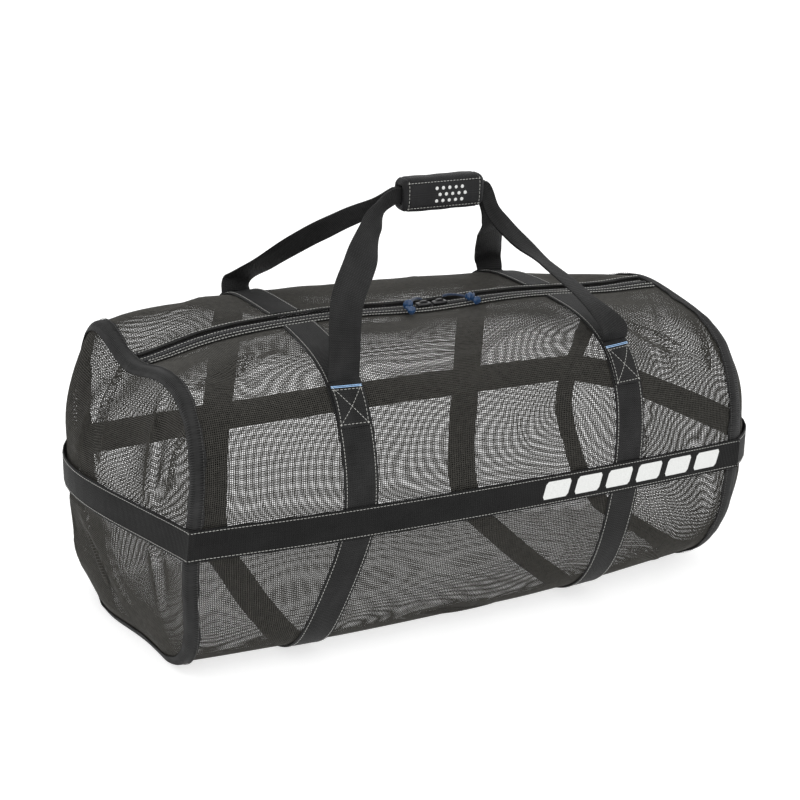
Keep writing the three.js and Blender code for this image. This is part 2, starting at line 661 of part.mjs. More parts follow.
// Handle: sewn over one strap, up to the grip, through it and down to the other strap
function handle(side) {
  const seat = GAP + WEBBING_T + GAP;
  const stackY = side * (WEBBING_T / FOLD + GAP + GRIP_EASE) / 2;
  const sewn = (name, z) => {
    const strapAt = strapAlong(name, side < 0 ? 0.12 : 0.88);
    return [-0.5, 0, 0.5].map((share) => {
      const along = strapAt + share * HANDLE_W / LENGTH;
      const turn = turnOnSide(along, z, side);
      return { outer: skin(along, turn, seat + WEBBING_T), inner: skin(along, turn, seat) };
    });
  };
  const sewnRow = (name, z, flip) => {
    const places = sewn(name, z);
    if (flip) places.reverse();
    return { outer: places.map((p) => p.outer), inner: places.map((p) => p.inner) };
  };
  const boxHeights = evenSteps(STEPS_BOX).map((t) => BOX_LOW_Z + t * (BOX_TOP_Z - BOX_LOW_Z));
  const leg = (name, end) => {
    const legRows = LEG_ROWS[`${side < 0 ? 'front' : 'back'}_${end < 0 ? 'left' : 'right'}`];
    const top = sewn(name, BOX_TOP_Z)[1];
    const start = top.outer.clone().add(top.inner).multiplyScalar(0.5);
    const goal = new THREE.Vector3(GRIP_X + end * (GRIP_L / 2 + GRIP_LEAD), stackY, GRIP_Z);
    const before = sewn(name, BOX_TOP_Z - 8)[1];
    const under = before.outer.clone().add(before.inner).multiplyScalar(0.5);
    const places = legRows.map((row) => new THREE.Vector3(
      start.x + (goal.x - start.x) * row.to_x,
      start.y + (goal.y - start.y) * row.to_y,
      start.z + (goal.z - start.z) * row.to_z,
    ));
    const mouth = goal.clone().setX(GRIP_X + end * GRIP_L / 2);
    const inside = goal.clone().setX(GRIP_X + end * GRIP_L / 4);
    const path = new THREE.CatmullRomCurve3([under, start, ...places, goal, mouth, inside]);
    const keys = places.length + 4;
    const rows = [];
    for (let k = 1; k <= STEPS_LEG; k += 1) {
      const key = 1 + (places.length + 1) * k / STEPS_LEG;
      const ahead = path.getTangent(key / keys);
      const column = (name_, first) => {
        const spot = Math.min(key - 1, legRows.length);
        const low = Math.floor(spot);
        const a = low === 0 ? first : legRows[low - 1][name_];
        const b = legRows[Math.min(low, legRows.length - 1)][name_];
        return a + (b - a) * (spot - low);
      };
      const wide = new THREE.Vector3(-end * column('wide_x', 1), -side * column('wide_y', 0), column('wide_z', 0));
      wide.addScaledVector(ahead, -wide.dot(ahead)).normalize();
      const width = column('width', 1);
      const thick = WEBBING_T * Math.min(1 / width, 1 / FOLD);
      const face = new THREE.Vector3().crossVectors(ahead, wide).multiplyScalar(-side * end).normalize();
      rows.push(webbingRow(path.getPoint(key / keys), wide, face, HANDLE_W * width, thick));
    }
    return rows;
  };
  const leftRows = [
    ...boxHeights.map((z) => sewnRow('strap_left', z, false)),
    ...leg('strap_left', -1),
  ];
  const rightRows = [
    ...boxHeights.map((z) => sewnRow('strap_right', z, true)),
    ...leg('strap_right', 1),
  ];
  const rows = [...leftRows, ...rightRows.reverse()];
  return sheetBody(rows.map((row) => row.outer), rows.map((row) => row.inner));
}

// Padded wrap round both handles, rounded at its ends
function grip() {
  const stations = [
    { place: -0.5, size: 0.8 },
    { place: -0.47, size: 0.94 },
    { place: -0.4, size: 1 },
    { place: 0.4, size: 1 },
    { place: 0.47, size: 0.94 },
    { place: 0.5, size: 0.8 },
  ];
  const boreD = 2 * (WEBBING_T / FOLD) + GAP + 2 * GRIP_EASE;
  const boreH = HANDLE_W * FOLD + 2 * GRIP_EASE;
  const turns = evenSteps(24).slice(0, -1).map((t) => t * 2 * HALF_TURN);
  const loop = (x, depth, height, square) => turns.map((turn) => {
    const c = Math.cos(turn);
    const s = Math.sin(turn);
    const y = depth / 2 * Math.sign(c) * Math.abs(c) ** (2 / square);
    const z = height / 2 * Math.sign(s) * Math.abs(s) ** (2 / square);
    return new THREE.Vector3(x, y, GRIP_Z + z);
  });
  const outer = stations.map(({ place, size }) => loop(GRIP_X + place * GRIP_L, GRIP_D * size, GRIP_H * size, 3));
  const inner = stations.map(({ place }) => loop(GRIP_X + place * GRIP_L, boreD, boreH, 12));
  return sheetBody(outer, inner, { round: true });
}

const bag = new THREE.Group();

function addPiece(name, geometry, material) {
  const piece = new THREE.Mesh(geometry, material);
  piece.name = name;
  bag.add(piece);
}

addPiece('mesh_body', bodyWrap(), BLACK_NET);
addPiece('end_panel_left', endPanel(-1), BLACK_NET);
addPiece('end_panel_right', endPanel(1), BLACK_NET);
addPiece('end_binding_left', endBinding(-1), BLACK_WEBBING);
addPiece('end_binding_right', endBinding(1), BLACK_WEBBING);
addPiece('strap_left', strap('strap_left'), BLACK_WEBBING);
addPiece('strap_right', strap('strap_right'), BLACK_WEBBING);
addPiece('band', band(), BLACK_WEBBING);
addPiece('hem_front', hem(-1), BLACK_WEBBING);
addPiece('hem_back', hem(1), BLACK_WEBBING);
addPiece('zipper_tape', zipperTape(), ZIPPER_CLOTH);
addPiece('zipper_coil', zipperCoil(), BLACK_PLASTIC);
addPiece('slider_left', slider(-1), BLACK_PLASTIC);
addPiece('slider_right', slider(1), BLACK_PLASTIC);
addPiece('pull_left', pull(-1), BLUE_PLASTIC);
addPiece('pull_right', pull(1), BLUE_PLASTIC);
addPiece('handle_front', handle(-1), BLACK_WEBBING);
addPiece('handle_back', handle(1), BLACK_WEBBING);
addPiece('handle_grip', grip(), GRIP_CLOTH);

for (const piece of bag.children) {
  const places = piece.geometry.attributes.position;
  for (let i = 0; i < places.count; i += 1) {
    const point = new THREE.Vector3().fromBufferAttribute(places, i);
    const moved = pushed(point);
    places.setXYZ(i, moved.x, moved.y, moved.z);
  }
}

// The two ends bulge unequally, so the seams' middle is moved to bring the whole bag's middle over the origin
const middle = new THREE.Box3().setFromObject(bag).getCenter(new THREE.Vector3());
for (const piece of bag.children) piece.geometry.translate(-middle.x, -middle.y, 0);

export default bag;
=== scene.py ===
"""Mesh dive gear bag: a barrel of open net with webbing straps, a band, a zipper and two handles."""

import math

import bmesh
import bpy
import numpy as np
from mathutils import Matrix, Vector


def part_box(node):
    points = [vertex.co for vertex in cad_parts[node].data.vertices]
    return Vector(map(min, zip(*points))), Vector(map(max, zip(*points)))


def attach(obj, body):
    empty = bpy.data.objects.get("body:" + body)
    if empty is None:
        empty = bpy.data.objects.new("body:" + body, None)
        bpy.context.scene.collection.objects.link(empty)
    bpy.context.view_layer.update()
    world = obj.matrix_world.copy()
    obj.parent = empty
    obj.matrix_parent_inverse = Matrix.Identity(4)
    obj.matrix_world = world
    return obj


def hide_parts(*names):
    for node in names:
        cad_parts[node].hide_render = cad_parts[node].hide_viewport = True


bl_info = {
    "name": "Mesh dive gear bag",
    "version": (1, 0, 0),
    "blender": (4, 5, 0),
    "location": "View3D > Sidebar > Bag",
    "description": "Makes the net, webbing, zipper, grip and stitching of a mesh dive gear bag",
    "category": "Object",
}

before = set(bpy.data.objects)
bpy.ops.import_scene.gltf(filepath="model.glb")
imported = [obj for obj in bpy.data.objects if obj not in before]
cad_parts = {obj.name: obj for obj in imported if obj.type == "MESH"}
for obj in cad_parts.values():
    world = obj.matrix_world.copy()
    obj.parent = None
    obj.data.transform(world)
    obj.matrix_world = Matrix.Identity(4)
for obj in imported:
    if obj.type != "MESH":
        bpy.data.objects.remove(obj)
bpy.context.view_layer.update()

MM = 0.001

# The bag's own sizes in millimetres, as in the solids
LENGTH, WIDTH, HEIGHT = 750.0, 404.0, 378.0
NET_T, SETTLE, END_BULGE, GAP = 1.5, 5.0, 60.0, 0.5
WEBBING_T, STRAP_W, HANDLE_W, BAND_W, BAND_Z = 2.0, 44.0, 40.0, 40.0, 186.0
BINDING_W, BINDING_T = 10.0, 2.0
SLOT_W, SLOT_Y, HEM_W, HEM_T = 26.0, 12.0, 11.0, 2.2
ZIP_TAPE_LAP, ZIP_TAPE_T, COIL_W, COIL_H = 8.0, 1.2, 7.0, 2.6
SLIDER_L, SLIDER_W, SLIDER_H, SLIDER_MEET_X, SLIDER_APART = 20.0, 12.0, 6.0, 29.0, 3.0
PULL_R, PULL_L = 2.1, 42.0
GRIP_X, GRIP_Z, GRIP_L, GRIP_H, GRIP_D, GRIP_EASE, GRIP_LEAD = 26.0, 519.0, 114.0, 44.0, 31.0, 1.3, 5.0
FOLD = 0.5
BOX_LOW_Z, BOX_TOP_Z = 302.0, 345.0
BASE_Z = WEBBING_T + GAP
SEAT = GAP + WEBBING_T + GAP
TAPE_TOP = -NET_T - GAP
COIL_BASE = TAPE_TOP + GAP
BAND_BASE = GAP + max(WEBBING_T, BINDING_T) + GAP
BAND_TOP = BAND_BASE + WEBBING_T

# The scene's own sizes in millimetres
MEAN_RADIUS = 195.0
CLOTH_ROUND, HEM_TO_HEM = 1320.0, 1300.0
LINE_STEP, HOOP_STEP = 11, 10.5
STITCH_LIFT = 0.15
PRINT_SINK = 0.25
BORDER = 7
# Share of the way to an end panel's rim where its net ends, under the binding
END_NET_EDGE = 0.985
# How square the grip and its bore are, and where its sewn border runs as a share of its half height
GRIP_SQUARE, BORE_SQUARE, GRIP_BORDER = 3.4, 12, 0.74
# Height of the hem's crest in shares of HEM_T
HEM_CREST = 1.4
# Share of the way round where a handle is sewn on the front, side -1, and on the back, side 1
HANDLE_AT = {-1: 0.12, 1: 0.88}
# Distances over which the net's slack fades in beside each piece and above the floor
FADE = {"strap": 22, "band": 18, "binding": 22, "hem": 24, "floor": 40}

# The solids are centred on the whole bag, and these sizes on the end seams
SHIFT = np.array([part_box("handle_grip")[0].x / MM - (GRIP_X - GRIP_L / 2), 0.0, 0.0])

# Sections along the body: shares of LENGTH, WIDTH and HEIGHT, and how full the corners are on each side
BODY_ROWS = {
    "along": (-0.5, -0.25, 0.0, 0.25, 0.5),
    "width": (0.94, 0.985, 1.0, 0.985, 0.94),
    "height": (0.945, 0.985, 1.0, 0.985, 0.945),
    "front": (3.6, 3.9, 4.0, 3.4, 2.6),
    "back": (6.5, 7.0, 7.0, 5.0, 2.9),
}
END_ROWS = {
    -1: {"bulge": 0.82, "square": 2.3, "lean": 0.7, "droop": 0.04},
    1: {"bulge": 1.0, "square": 4.0, "lean": -0.3, "droop": 0.1},
}
# How the slack seams leave their even shape: place along, across and up, reach, push along X, Y and Z
PUSH_ROWS = (
    (-0.5, 0.14, 0, 0.2, -0.05, 0, 0), (-0.5, 0.47, 0.1, 0.26, 0.035, -0.03, 0),
    (-0.5, -0.43, 0.38, 0.24, -0.025, 0.015, 0), (-0.5, 0.25, 0.97, 0.17, 0, 0, 0.024),
    (-0.5, 0.06, 0.95, 0.19, 0, 0, -0.045), (-0.5, -0.32, 0.9, 0.2, 0, -0.016, 0.026),
    (-0.4, 0.35, 0.97, 0.25, 0, 0, 0.018),
    (-0.5, 0.46, 0.88, 0.2, 0, -0.03, -0.012), (0.5, 0.5, 0.37, 0.16, -0.03, 0.012, 0),
    (0.5, 0.46, 0.7, 0.17, 0.03, -0.02, 0), (0.5, 0.07, 0.97, 0.18, 0, 0, 0.028),
    (0.5, -0.34, 0.88, 0.2, 0, -0.014, 0.018),
)
CLEAR_OF_FLOOR = 60.0
# Slack dents: along, turn in degrees, reach, spread in degrees, depth
DENT_ROWS = (
    (0.02, 6, 0.13, 24, 0.022), (0.0, 42, 0.11, 15, 0.03), (-0.39, 40, 0.05, 12, 0.016),
    (0.41, 46, 0.05, 9, 0.022), (-0.02, 128, 0.12, 10, 0.016), (0.02, 318, 0.12, 14, 0.022),
    (0.42, 312, 0.04, 12, 0.014),
)
# End dents: end, across, up, reach, depth
END_DENT_ROWS = (
    (-1, -0.3, 0.5, 0.24, 0.22), (-1, 0.35, -0.45, 0.28, 0.2), (1, 0.3, 0.45, 0.25, 0.22),
    (1, -0.25, -0.5, 0.25, 0.18),
)
STRAP_ROWS = {
    "strap_left": {"round": (0, 0.12, 0.25, 0.36, 0.5, 0.64, 0.76, 0.88, 1),
                   "drift": (-0.226, -0.246, -0.238, -0.292, -0.29, -0.262, -0.25, -0.228, -0.222)},
    "strap_right": {"round": (0, 0.12, 0.25, 0.36, 0.5, 0.64, 0.76, 0.88, 1),
                    "drift": (0.278, 0.268, 0.266, 0.242, 0.24, 0.26, 0.268, 0.272, 0.276)},
}
BAND_DROP = {"corner": (0, 1, 2, 3, 4), "drop": (0, 0, 0.004, 0.014, 0)}
# Handle legs: way covered to the grip along X, Y and Z, width left after folding, direction of the width
LEG_ROWS = {
    "front_left": (
        (0, 0, 0.18, 1, 1, -0.05, -0.1), (0.1, 0.17, 0.48, 1, 0.95, -0.2, -0.2),
        (0.4, 0.5, 0.68, 1, 0.9, -0.3, -0.3), (0.68, 0.83, 0.84, 0.75, 0.6, -0.3, -0.7),
        (0.87, 0.985, 0.95, 0.5, 0, 0, -1),
    ),
    "front_right": (
        (0.05, -0.03, 0.11, 1, 1, -0.1, 0), (0.29, 0.25, 0.34, 1, 0.7, -0.6, 0),
        (0.49, 0.58, 0.5, 0.9, 0.6, -0.7, 0), (0.69, 0.86, 0.66, 0.68, 0.8, -0.35, -0.3),
        (0.88, 0.975, 0.83, 0.5, 0.8, 0, -0.6), (0.96, 0.99, 0.955, 0.5, 0.4, 0, -0.9),
    ),
    "back_left": (
        (0.04, -0.03, 0.09, 1, 1, -0.05, -0.1), (0.2, 0.16, 0.27, 1, 0.9, -0.25, -0.35),
        (0.41, 0.44, 0.52, 0.95, 0.75, -0.3, -0.6), (0.63, 0.76, 0.76, 0.68, 0.4, -0.2, -0.9),
        (0.85, 0.985, 0.93, 0.5, 0, 0, -1),
    ),
    "back_right": (
        (0, -0.03, 0.1, 1, 1, -0.05, -0.1), (0.2, 0.2, 0.28, 1, 0.9, -0.25, -0.35),
        (0.47, 0.54, 0.5, 0.95, 0.9, -0.3, -0.4), (0.7, 0.83, 0.67, 0.68, 0.9, -0.25, -0.3),
        (0.89, 0.975, 0.84, 0.5, 0.8, 0, -0.6), (0.96, 0.99, 0.955, 0.5, 0.4, 0, -0.9),
    ),
}
# Creases of the slack net: from and to as (along, turn in degrees), half width in mm, height in mm
CREASE_ROWS = (
    (-0.45, 38, -0.3, 26, 9, 2.5), (-0.2, 60, -0.12, 100, 12, 1.6), (-0.05, 40, 0.14, 33, 10, 2.6),
    (0.3, 36, 0.45, 55, 8, 3.0), (0.05, 75, 0.16, 115, 14, 1.6), (-0.46, 110, -0.38, 75, 10, 2.0),
    (0.33, 95, 0.44, 120, 10, 2.0), (-0.15, 120, 0.1, 135, 14, 2.0), (-0.4, 330, -0.28, 318, 10, 2.0),
    (-0.1, 325, 0.12, 312, 12, 2.6), (0.33, 320, 0.45, 305, 9, 2.6), (0.0, 250, 0.15, 285, 14, 1.6),
    (-0.16, 300, -0.05, 250, 14, 1.6), (0.34, 262, 0.44, 240, 10, 2.0), (-0.44, 262, -0.34, 285, 10, 1.8),
)
# Creases of the end panels: end, from and to as (y, z) in mm, half width and height in mm
END_CREASE_ROWS = (
    (-1, (-95, 330), (-120, 90), 9, 4.0), (-1, (20, 335), (60, 215), 12, 3.0),
    (-1, (-40, 45), (50, 150), 14, 3.0),
    (-1, (120, 60), (80, 165), 10, 3.0), (-1, (-150, 260), (-100, 215), 9, 2.5),
    (1, (-60, 330), (-90, 220), 12, 3.0), (1, (60, 330), (30, 215), 12, 3.0),
    (1, (-100, 60), (-40, 150), 12, 3.0), (1, (90, 60), (60, 150), 12, 3.0),
)
# Folds where the slack net lies double: from and to as (along, turn in degrees), half width and height in mm
FOLD_ROWS = (
    (-0.47, 38, -0.34, 22, 10, 2.4), (0.27, 24, 0.42, 44, 4, 2.4), (0.3, 120, 0.42, 138, 8, 2.0),
    (-0.1, 132, 0.06, 140, 10, 1.8), (0.1, 318, 0.2, 304, 8, 2.0),
)
# The same on the end panels: end, from and to as (y, z) in mm, half width and height in mm
END_FOLD_ROWS = (
    (-1, (32, 352), (4, 226), 10, 2.2), (-1, (-166, 335), (-132, 235), 5, 2.0),
    (-1, (52, 150), (8, 60), 11, 2.0),
    (1, (-30, 330), (-56, 250), 9, 2.0), (1, (60, 60), (90, 140), 9, 2.0),
)
# Distance in mm between two threads of a fold's second layer
FOLD_PITCH = 3.8
# Stretches of the wrap: name, from and to as shares of the way round, and the thread's thickness, which is
# thinner below, where round threads seen at a low angle would close the net more than flat ones do
NET_PARTS = (("front", 0.0, 0.38, 1.0), ("bottom", 0.38, 0.62, 0.72), ("back", 0.62, 1.0, 1.0))


def blend(rows, key, column, place):
    """Smooth value of a column of a table at places given by its key column."""
    place = np.asarray(place, float)
    keys, values = np.array(rows[key], float), np.array(rows[column], float)
    i = np.clip(np.searchsorted(keys, place, side="left") - 1, 0, len(keys) - 2)
    before, after = np.maximum(i - 1, 0), np.minimum(i + 2, len(keys) - 1)
    span = keys[i + 1] - keys[i]
    t = np.clip((place - keys[i]) / span, 0, 1)
    slope_from = span * (values[i + 1] - values[before]) / (keys[i + 1] - keys[before])
    slope_to = span * (values[after] - values[i]) / (keys[after] - keys[i])
    return ((2 * t**3 - 3 * t**2 + 1) * values[i] + (t**3 - 2 * t**2 + t) * slope_from
            + (3 * t**2 - 2 * t**3) * values[i + 1] + (t**3 - t**2) * slope_to)


def section_at(along):
    """Half width, half height and fullness of the front and back corners."""
    keys = ("width", "height", "front", "back")
    width, height, front, back = (blend(BODY_ROWS, "along", key, along) for key in keys)
    return WIDTH / 2 * width, HEIGHT / 2 * height, front, back


def reach_at(section, turn):
    half_w, half_h, front, back = section
    square = np.where(np.sin(turn) > 0, front, back)
    across, up = np.abs(np.sin(turn) / half_w) ** square, np.abs(np.cos(turn) / half_h) ** square
    return (across + up) ** (-1 / square)


def dent_at(along, turn):
    depth = np.zeros(np.broadcast(along, turn).shape)
    for place, centre, reach, spread, deep in DENT_ROWS:
        far = (along - place) / reach
        round_ = (np.mod(np.degrees(turn) - centre + 180, 360) - 180) / spread
        depth = depth + WIDTH * deep * np.exp(-far**2 - round_**2)
    return depth


def outline_at(along, turn):
    """Y and Z of the net's outer face before dents."""
    section = section_at(along)
    reach = reach_at(section, turn)
    return -reach * np.sin(turn), BASE_Z + np.maximum(0, section[1] + reach * np.cos(turn) - SETTLE)


def skin(along, turn, out=0.0):
    """Points at a distance out of the net's outer face."""
    along, turn = np.broadcast_arrays(np.asarray(along, float), np.asarray(turn, float))
    nudge = 0.01
    y, z = outline_at(along, turn)
    y1, z1 = outline_at(along, turn + nudge)
    y0, z0 = outline_at(along, turn - nudge)
    wy, wz = y1 - y0, z1 - z0
    size = np.hypot(wy, wz)
    lift = out - dent_at(along, turn)
    return np.stack([along * LENGTH, y + wz / size * lift, z - wy / size * lift], axis=-1)


def turn_on_top(along, y):
    """Turns at which the outline passes Y on the top."""
    along, y = np.broadcast_arrays(np.asarray(along, float), np.asarray(y, float))
    low, high = np.full(along.shape, -math.pi / 4), np.full(along.shape, math.pi / 4)
    for _ in range(40):
        middle = (low + high) / 2
        right = outline_at(along, middle)[0] > y
        low, high = np.where(right, middle, low), np.where(right, high, middle)
    return (low + high) / 2


def turn_on_side(along, z, side):
    """Turns at which the outline passes Z on the front, side -1, or on the back, side 1."""
    along, z = np.broadcast_arrays(np.asarray(along, float), np.asarray(z, float))
    low, high = np.full(along.shape, 0.02), np.full(along.shape, math.pi * 0.8)
    for _ in range(40):
        middle = (low + high) / 2
        above = outline_at(along, middle)[1] > z
        low, high = np.where(above, middle, low), np.where(above, high, middle)
    turn = (low + high) / 2
    return turn if side < 0 else 2 * math.pi - turn


def turn_round(along, share):
    """Turns at a share of the way from the front hem's outer edge to the back hem's."""
    front = turn_on_top(along, SLOT_Y - SLOT_W / 2 - HEM_W)
    back = 2 * math.pi + turn_on_top(along, SLOT_Y + SLOT_W / 2 + HEM_W)
    return front + (back - front) * share


def strap_along(name, share):
    return blend(STRAP_ROWS[name], "round", "drift", share)


def soft_step(x):
    t = np.clip(x, 0, 1)
    return t * t * (3 - 2 * t)


def ridge(px, py, ax, ay, bx, by, half, height):
    """Height of one crease at points of a flat map, fading at its ends."""
    dx, dy = bx - ax, by - ay
    length = math.hypot(dx, dy)
    t = ((px - ax) * dx + (py - ay) * dy) / length**2
    off = ((px - ax) * dy - (py - ay) * dx) / length + 6 * np.sin(t * 5)
    fade = np.exp(-np.maximum(0, np.abs(t - 0.5) - 0.3) ** 2 / 0.03)
    hollow = 0.6 * np.exp(-(((off - 1.6 * half) / (1.3 * half)) ** 2))
    return height * fade * (np.exp(-((off / half) ** 2)) - hollow)


def flat_spot(along, degrees):
    """A place on the flat map of the wrap, in mm along and round it."""
    return along * LENGTH, math.radians(degrees) * MEAN_RADIUS


def slack_at(along, turn):
    """How far the slack net stands off the taut shape: not at all under straps, band, hems and bindings."""
    px, py = along * LENGTH, turn * MEAN_RADIUS
    off = 1.1 * np.sin(px * 0.021 + 2.2 * np.sin(py * 0.008)) * np.sin(py * 0.017 + 1.3)
    off = off + 0.7 * np.sin(px * 0.047 + py * 0.021 + 0.7) + 0.45 * np.sin(py * 0.06 - px * 0.033)
    for a0, t0, a1, t1, half, height in CREASE_ROWS:
        off = off + ridge(px, py, *flat_spot(a0, t0), *flat_spot(a1, t1), half, height)
    front, back = turn_round(along, 0.0), turn_round(along, 1.0)
    share = (turn - front) / (back - front)
    for name in STRAP_ROWS:
        away = np.abs(along - strap_along(name, np.clip(share, 0, 1))) * LENGTH - STRAP_W / 2
        off = off * soft_step(away / FADE["strap"])
    z = outline_at(along, turn)[1]
    off = off * soft_step((np.abs(z - BAND_Z + 2) - BAND_W / 2 - 2) / FADE["band"])
    off = off * soft_step(((0.5 - np.abs(along)) * LENGTH - BINDING_W) / FADE["binding"])
    off = off * soft_step(np.minimum(share, 1 - share) * HEM_TO_HEM / FADE["hem"])
    return off * soft_step((z - 6) / FADE["floor"])


def end_rise(end, across, up, share):
    dome = END_ROWS[end]
    rise = END_BULGE * dome["bulge"] * (1 - share ** dome["square"])
    rise = rise * (1 + dome["lean"] * across - dome["droop"] * up)
    for which, a, u, reach, depth in END_DENT_ROWS:
        if which == end:
            near = np.exp(-((across - a) ** 2 + (up - u) ** 2) / reach**2)
            rise = rise - END_BULGE * depth * near * (1 - share**2)
    return rise


def end_skin(end, turn, share, out=0.0):
    """Points at a distance out of an end panel's outer face."""
    turn, share = np.broadcast_arrays(np.asarray(turn, float), np.asarray(share, float))
    section = section_at(end / 2)
    middle = BASE_Z + section[1] - SETTLE
    rim_y, rim_z = outline_at(end / 2, turn)
    radius = np.hypot(rim_y, rim_z - middle)

    def spot(s):
        return end_rise(end, rim_y * s / section[0], (rim_z - middle) * s / section[1], s)

    nudge = 0.01
    slope = (spot(share + nudge) - spot(np.abs(share - nudge))) / (radius * 2 * nudge)
    length = np.hypot(1, slope)
    side = -slope / length * out / radius
    x = LENGTH / 2 + GAP + NET_T + spot(share) + out / length
    y, z = rim_y * share + rim_y * side, middle + (rim_z - middle) * (share + side)
    return np.stack([end * x, y, z], axis=-1)


def end_polar(end, y, z):
    """Turn and share of the way to the rim for places on an end panel."""
    section = section_at(end / 2)
    middle = BASE_Z + section[1] - SETTLE
    turn = np.arctan2(-y, z - middle)
    rim_y, rim_z = outline_at(end / 2, turn)
    return turn, np.hypot(y, z - middle) / np.hypot(rim_y, rim_z - middle)


def binding_share(end, turn):
    return 1 - BINDING_W / reach_at(section_at(end / 2), turn)


def linear(hex_colour):
    """An sRGB hex value as linear red, green, blue and alpha."""
    parts = [int(hex_colour[i:i + 2], 16) / 255 for i in (1, 3, 5)]
    return [p / 12.92 if p <= 0.04045 else ((p + 0.055) / 1.055) ** 2.4 for p in parts] + [1.0]


def add_node(tree, kind, settings=None, values=None, links=None):
    """Adds a node, with its own settings, its sockets' values and the links into it."""
    node = tree.nodes.new(kind)
    for name, value in (settings or {}).items():
        setattr(node, name, value)
    for name, value in (values or {}).items():
        node.inputs[name].default_value = value
    for name, source in (links or {}).items():
        tree.links.new(source, node.inputs[name])
    return node


def new_material(name, roughness, specular=0.5, sheen=0.0, coat=0.0):
    """A material with its shader set, ready for its pattern."""
    material = bpy.data.materials.new(name)
    material.use_nodes = True
    tree = material.node_tree
    tree.nodes.clear()
    shader = add_node(tree, "ShaderNodeBsdfPrincipled", values={
        "Roughness": roughness, "Specular IOR Level": specular, "Sheen Weight": sheen, "Coat Weight": coat})
    out = add_node(tree, "ShaderNodeOutputMaterial")
    tree.links.new(shader.outputs["BSDF"], out.inputs["Surface"])
    return material, tree, shader


def mapped(tree, source, scale):
    """Coordinates in metres times a scale: source is UV or Object."""
    if source == "UV":
        place = add_node(tree, "ShaderNodeUVMap", {"uv_map": "cloth"}).outputs["UV"]
    else:
        place = add_node(tree, "ShaderNodeTexCoord").outputs["Object"]
    node = add_node(tree, "ShaderNodeMapping", values={"Scale": scale}, links={"Vector": place})
    return node.outputs["Vector"]


def combine(tree, operation, *terms):
    """The result of a math node on numbers and sockets."""
    node = add_node(tree, "ShaderNodeMath", {"operation": operation})
    for i, term in enumerate(terms):
        if isinstance(term, (int, float)):
            node.inputs[i].default_value = term
        else:
            tree.links.new(term, node.inputs[i])
    return node.outputs[0]


def noise(tree, vector, detail):
    node = add_node(tree, "ShaderNodeTexNoise", values={"Scale": 1.0, "Detail": detail},
                    links={"Vector": vector})
    return node.outputs["Fac"]


def paint(tree, shader, dark, light, share, height, strength, depth):
    """Colours the shader from dark to light by a share, and gives it a relief of depth mm."""
    mix = add_node(tree, "ShaderNodeMix", {"data_type": "RGBA"}, links={0: share})
    mix.inputs[6].default_value = linear(dark)
    mix.inputs[7].default_value = linear(light)
    bump = add_node(tree, "ShaderNodeBump", values={"Strength": strength, "Distance": depth * MM},
                    links={"Height": height})
    tree.links.new(mix.outputs[2], shader.inputs["Base Color"])
    tree.links.new(bump.outputs["Normal"], shader.inputs["Normal"])


def cloth_material(name, dark, light, across_mm, along_mm, depth, roughness, sheen):
    """Woven cloth on its own UV map: cords across_mm and picks along_mm apart, with dusty patches."""
    material, tree, shader = new_material(name, roughness, 0.14, sheen)
    vector = mapped(tree, "UV", (1 / (along_mm * MM), 1 / (across_mm * MM), 1))
    split = add_node(tree, "ShaderNodeSeparateXYZ", links={"Vector": vector})
    turns = [combine(tree, "MULTIPLY", split.outputs[axis], 2 * math.pi) for axis in "XY"]
    waves = [combine(tree, "SINE", turn) for turn in turns]
    cords = combine(tree, "MULTIPLY_ADD", waves[0], 0.8, combine(tree, "MULTIPLY", *waves))
    patches = noise(tree, mapped(tree, "UV", (1 / 0.05, 1 / 0.02, 1)), 4.0)
    fibres = noise(tree, mapped(tree, "UV", (1 / 0.0035, 1 / 0.03, 1)), 2.0)
    tone = combine(tree, "MULTIPLY_ADD", cords, 0.16, patches)
    tone = combine(tree, "MULTIPLY_ADD", fibres, 0.4, tone)
    share = add_node(tree, "ShaderNodeMapRange", values={"From Min": 0.35, "From Max": 1.05},
                     links={"Value": tone})
    paint(tree, shader, dark, light, share.outputs[0], cords, 0.7, depth)
    return material


def speckled_material(name, dark, light, grain_mm, depth, roughness, specular=0.5, coat=0.0, sheen=0.0):
    """A moulded, spun or coated surface on Object coordinates: fine grain and slow colour change."""
    material, tree, shader = new_material(name, roughness, specular, sheen, coat)
    grain = noise(tree, mapped(tree, "Object", (1 / (grain_mm * MM),) * 3), 3.0)
    paint(tree, shader, dark, light, grain, grain, 0.5, depth)
    return material


MATERIALS = {}


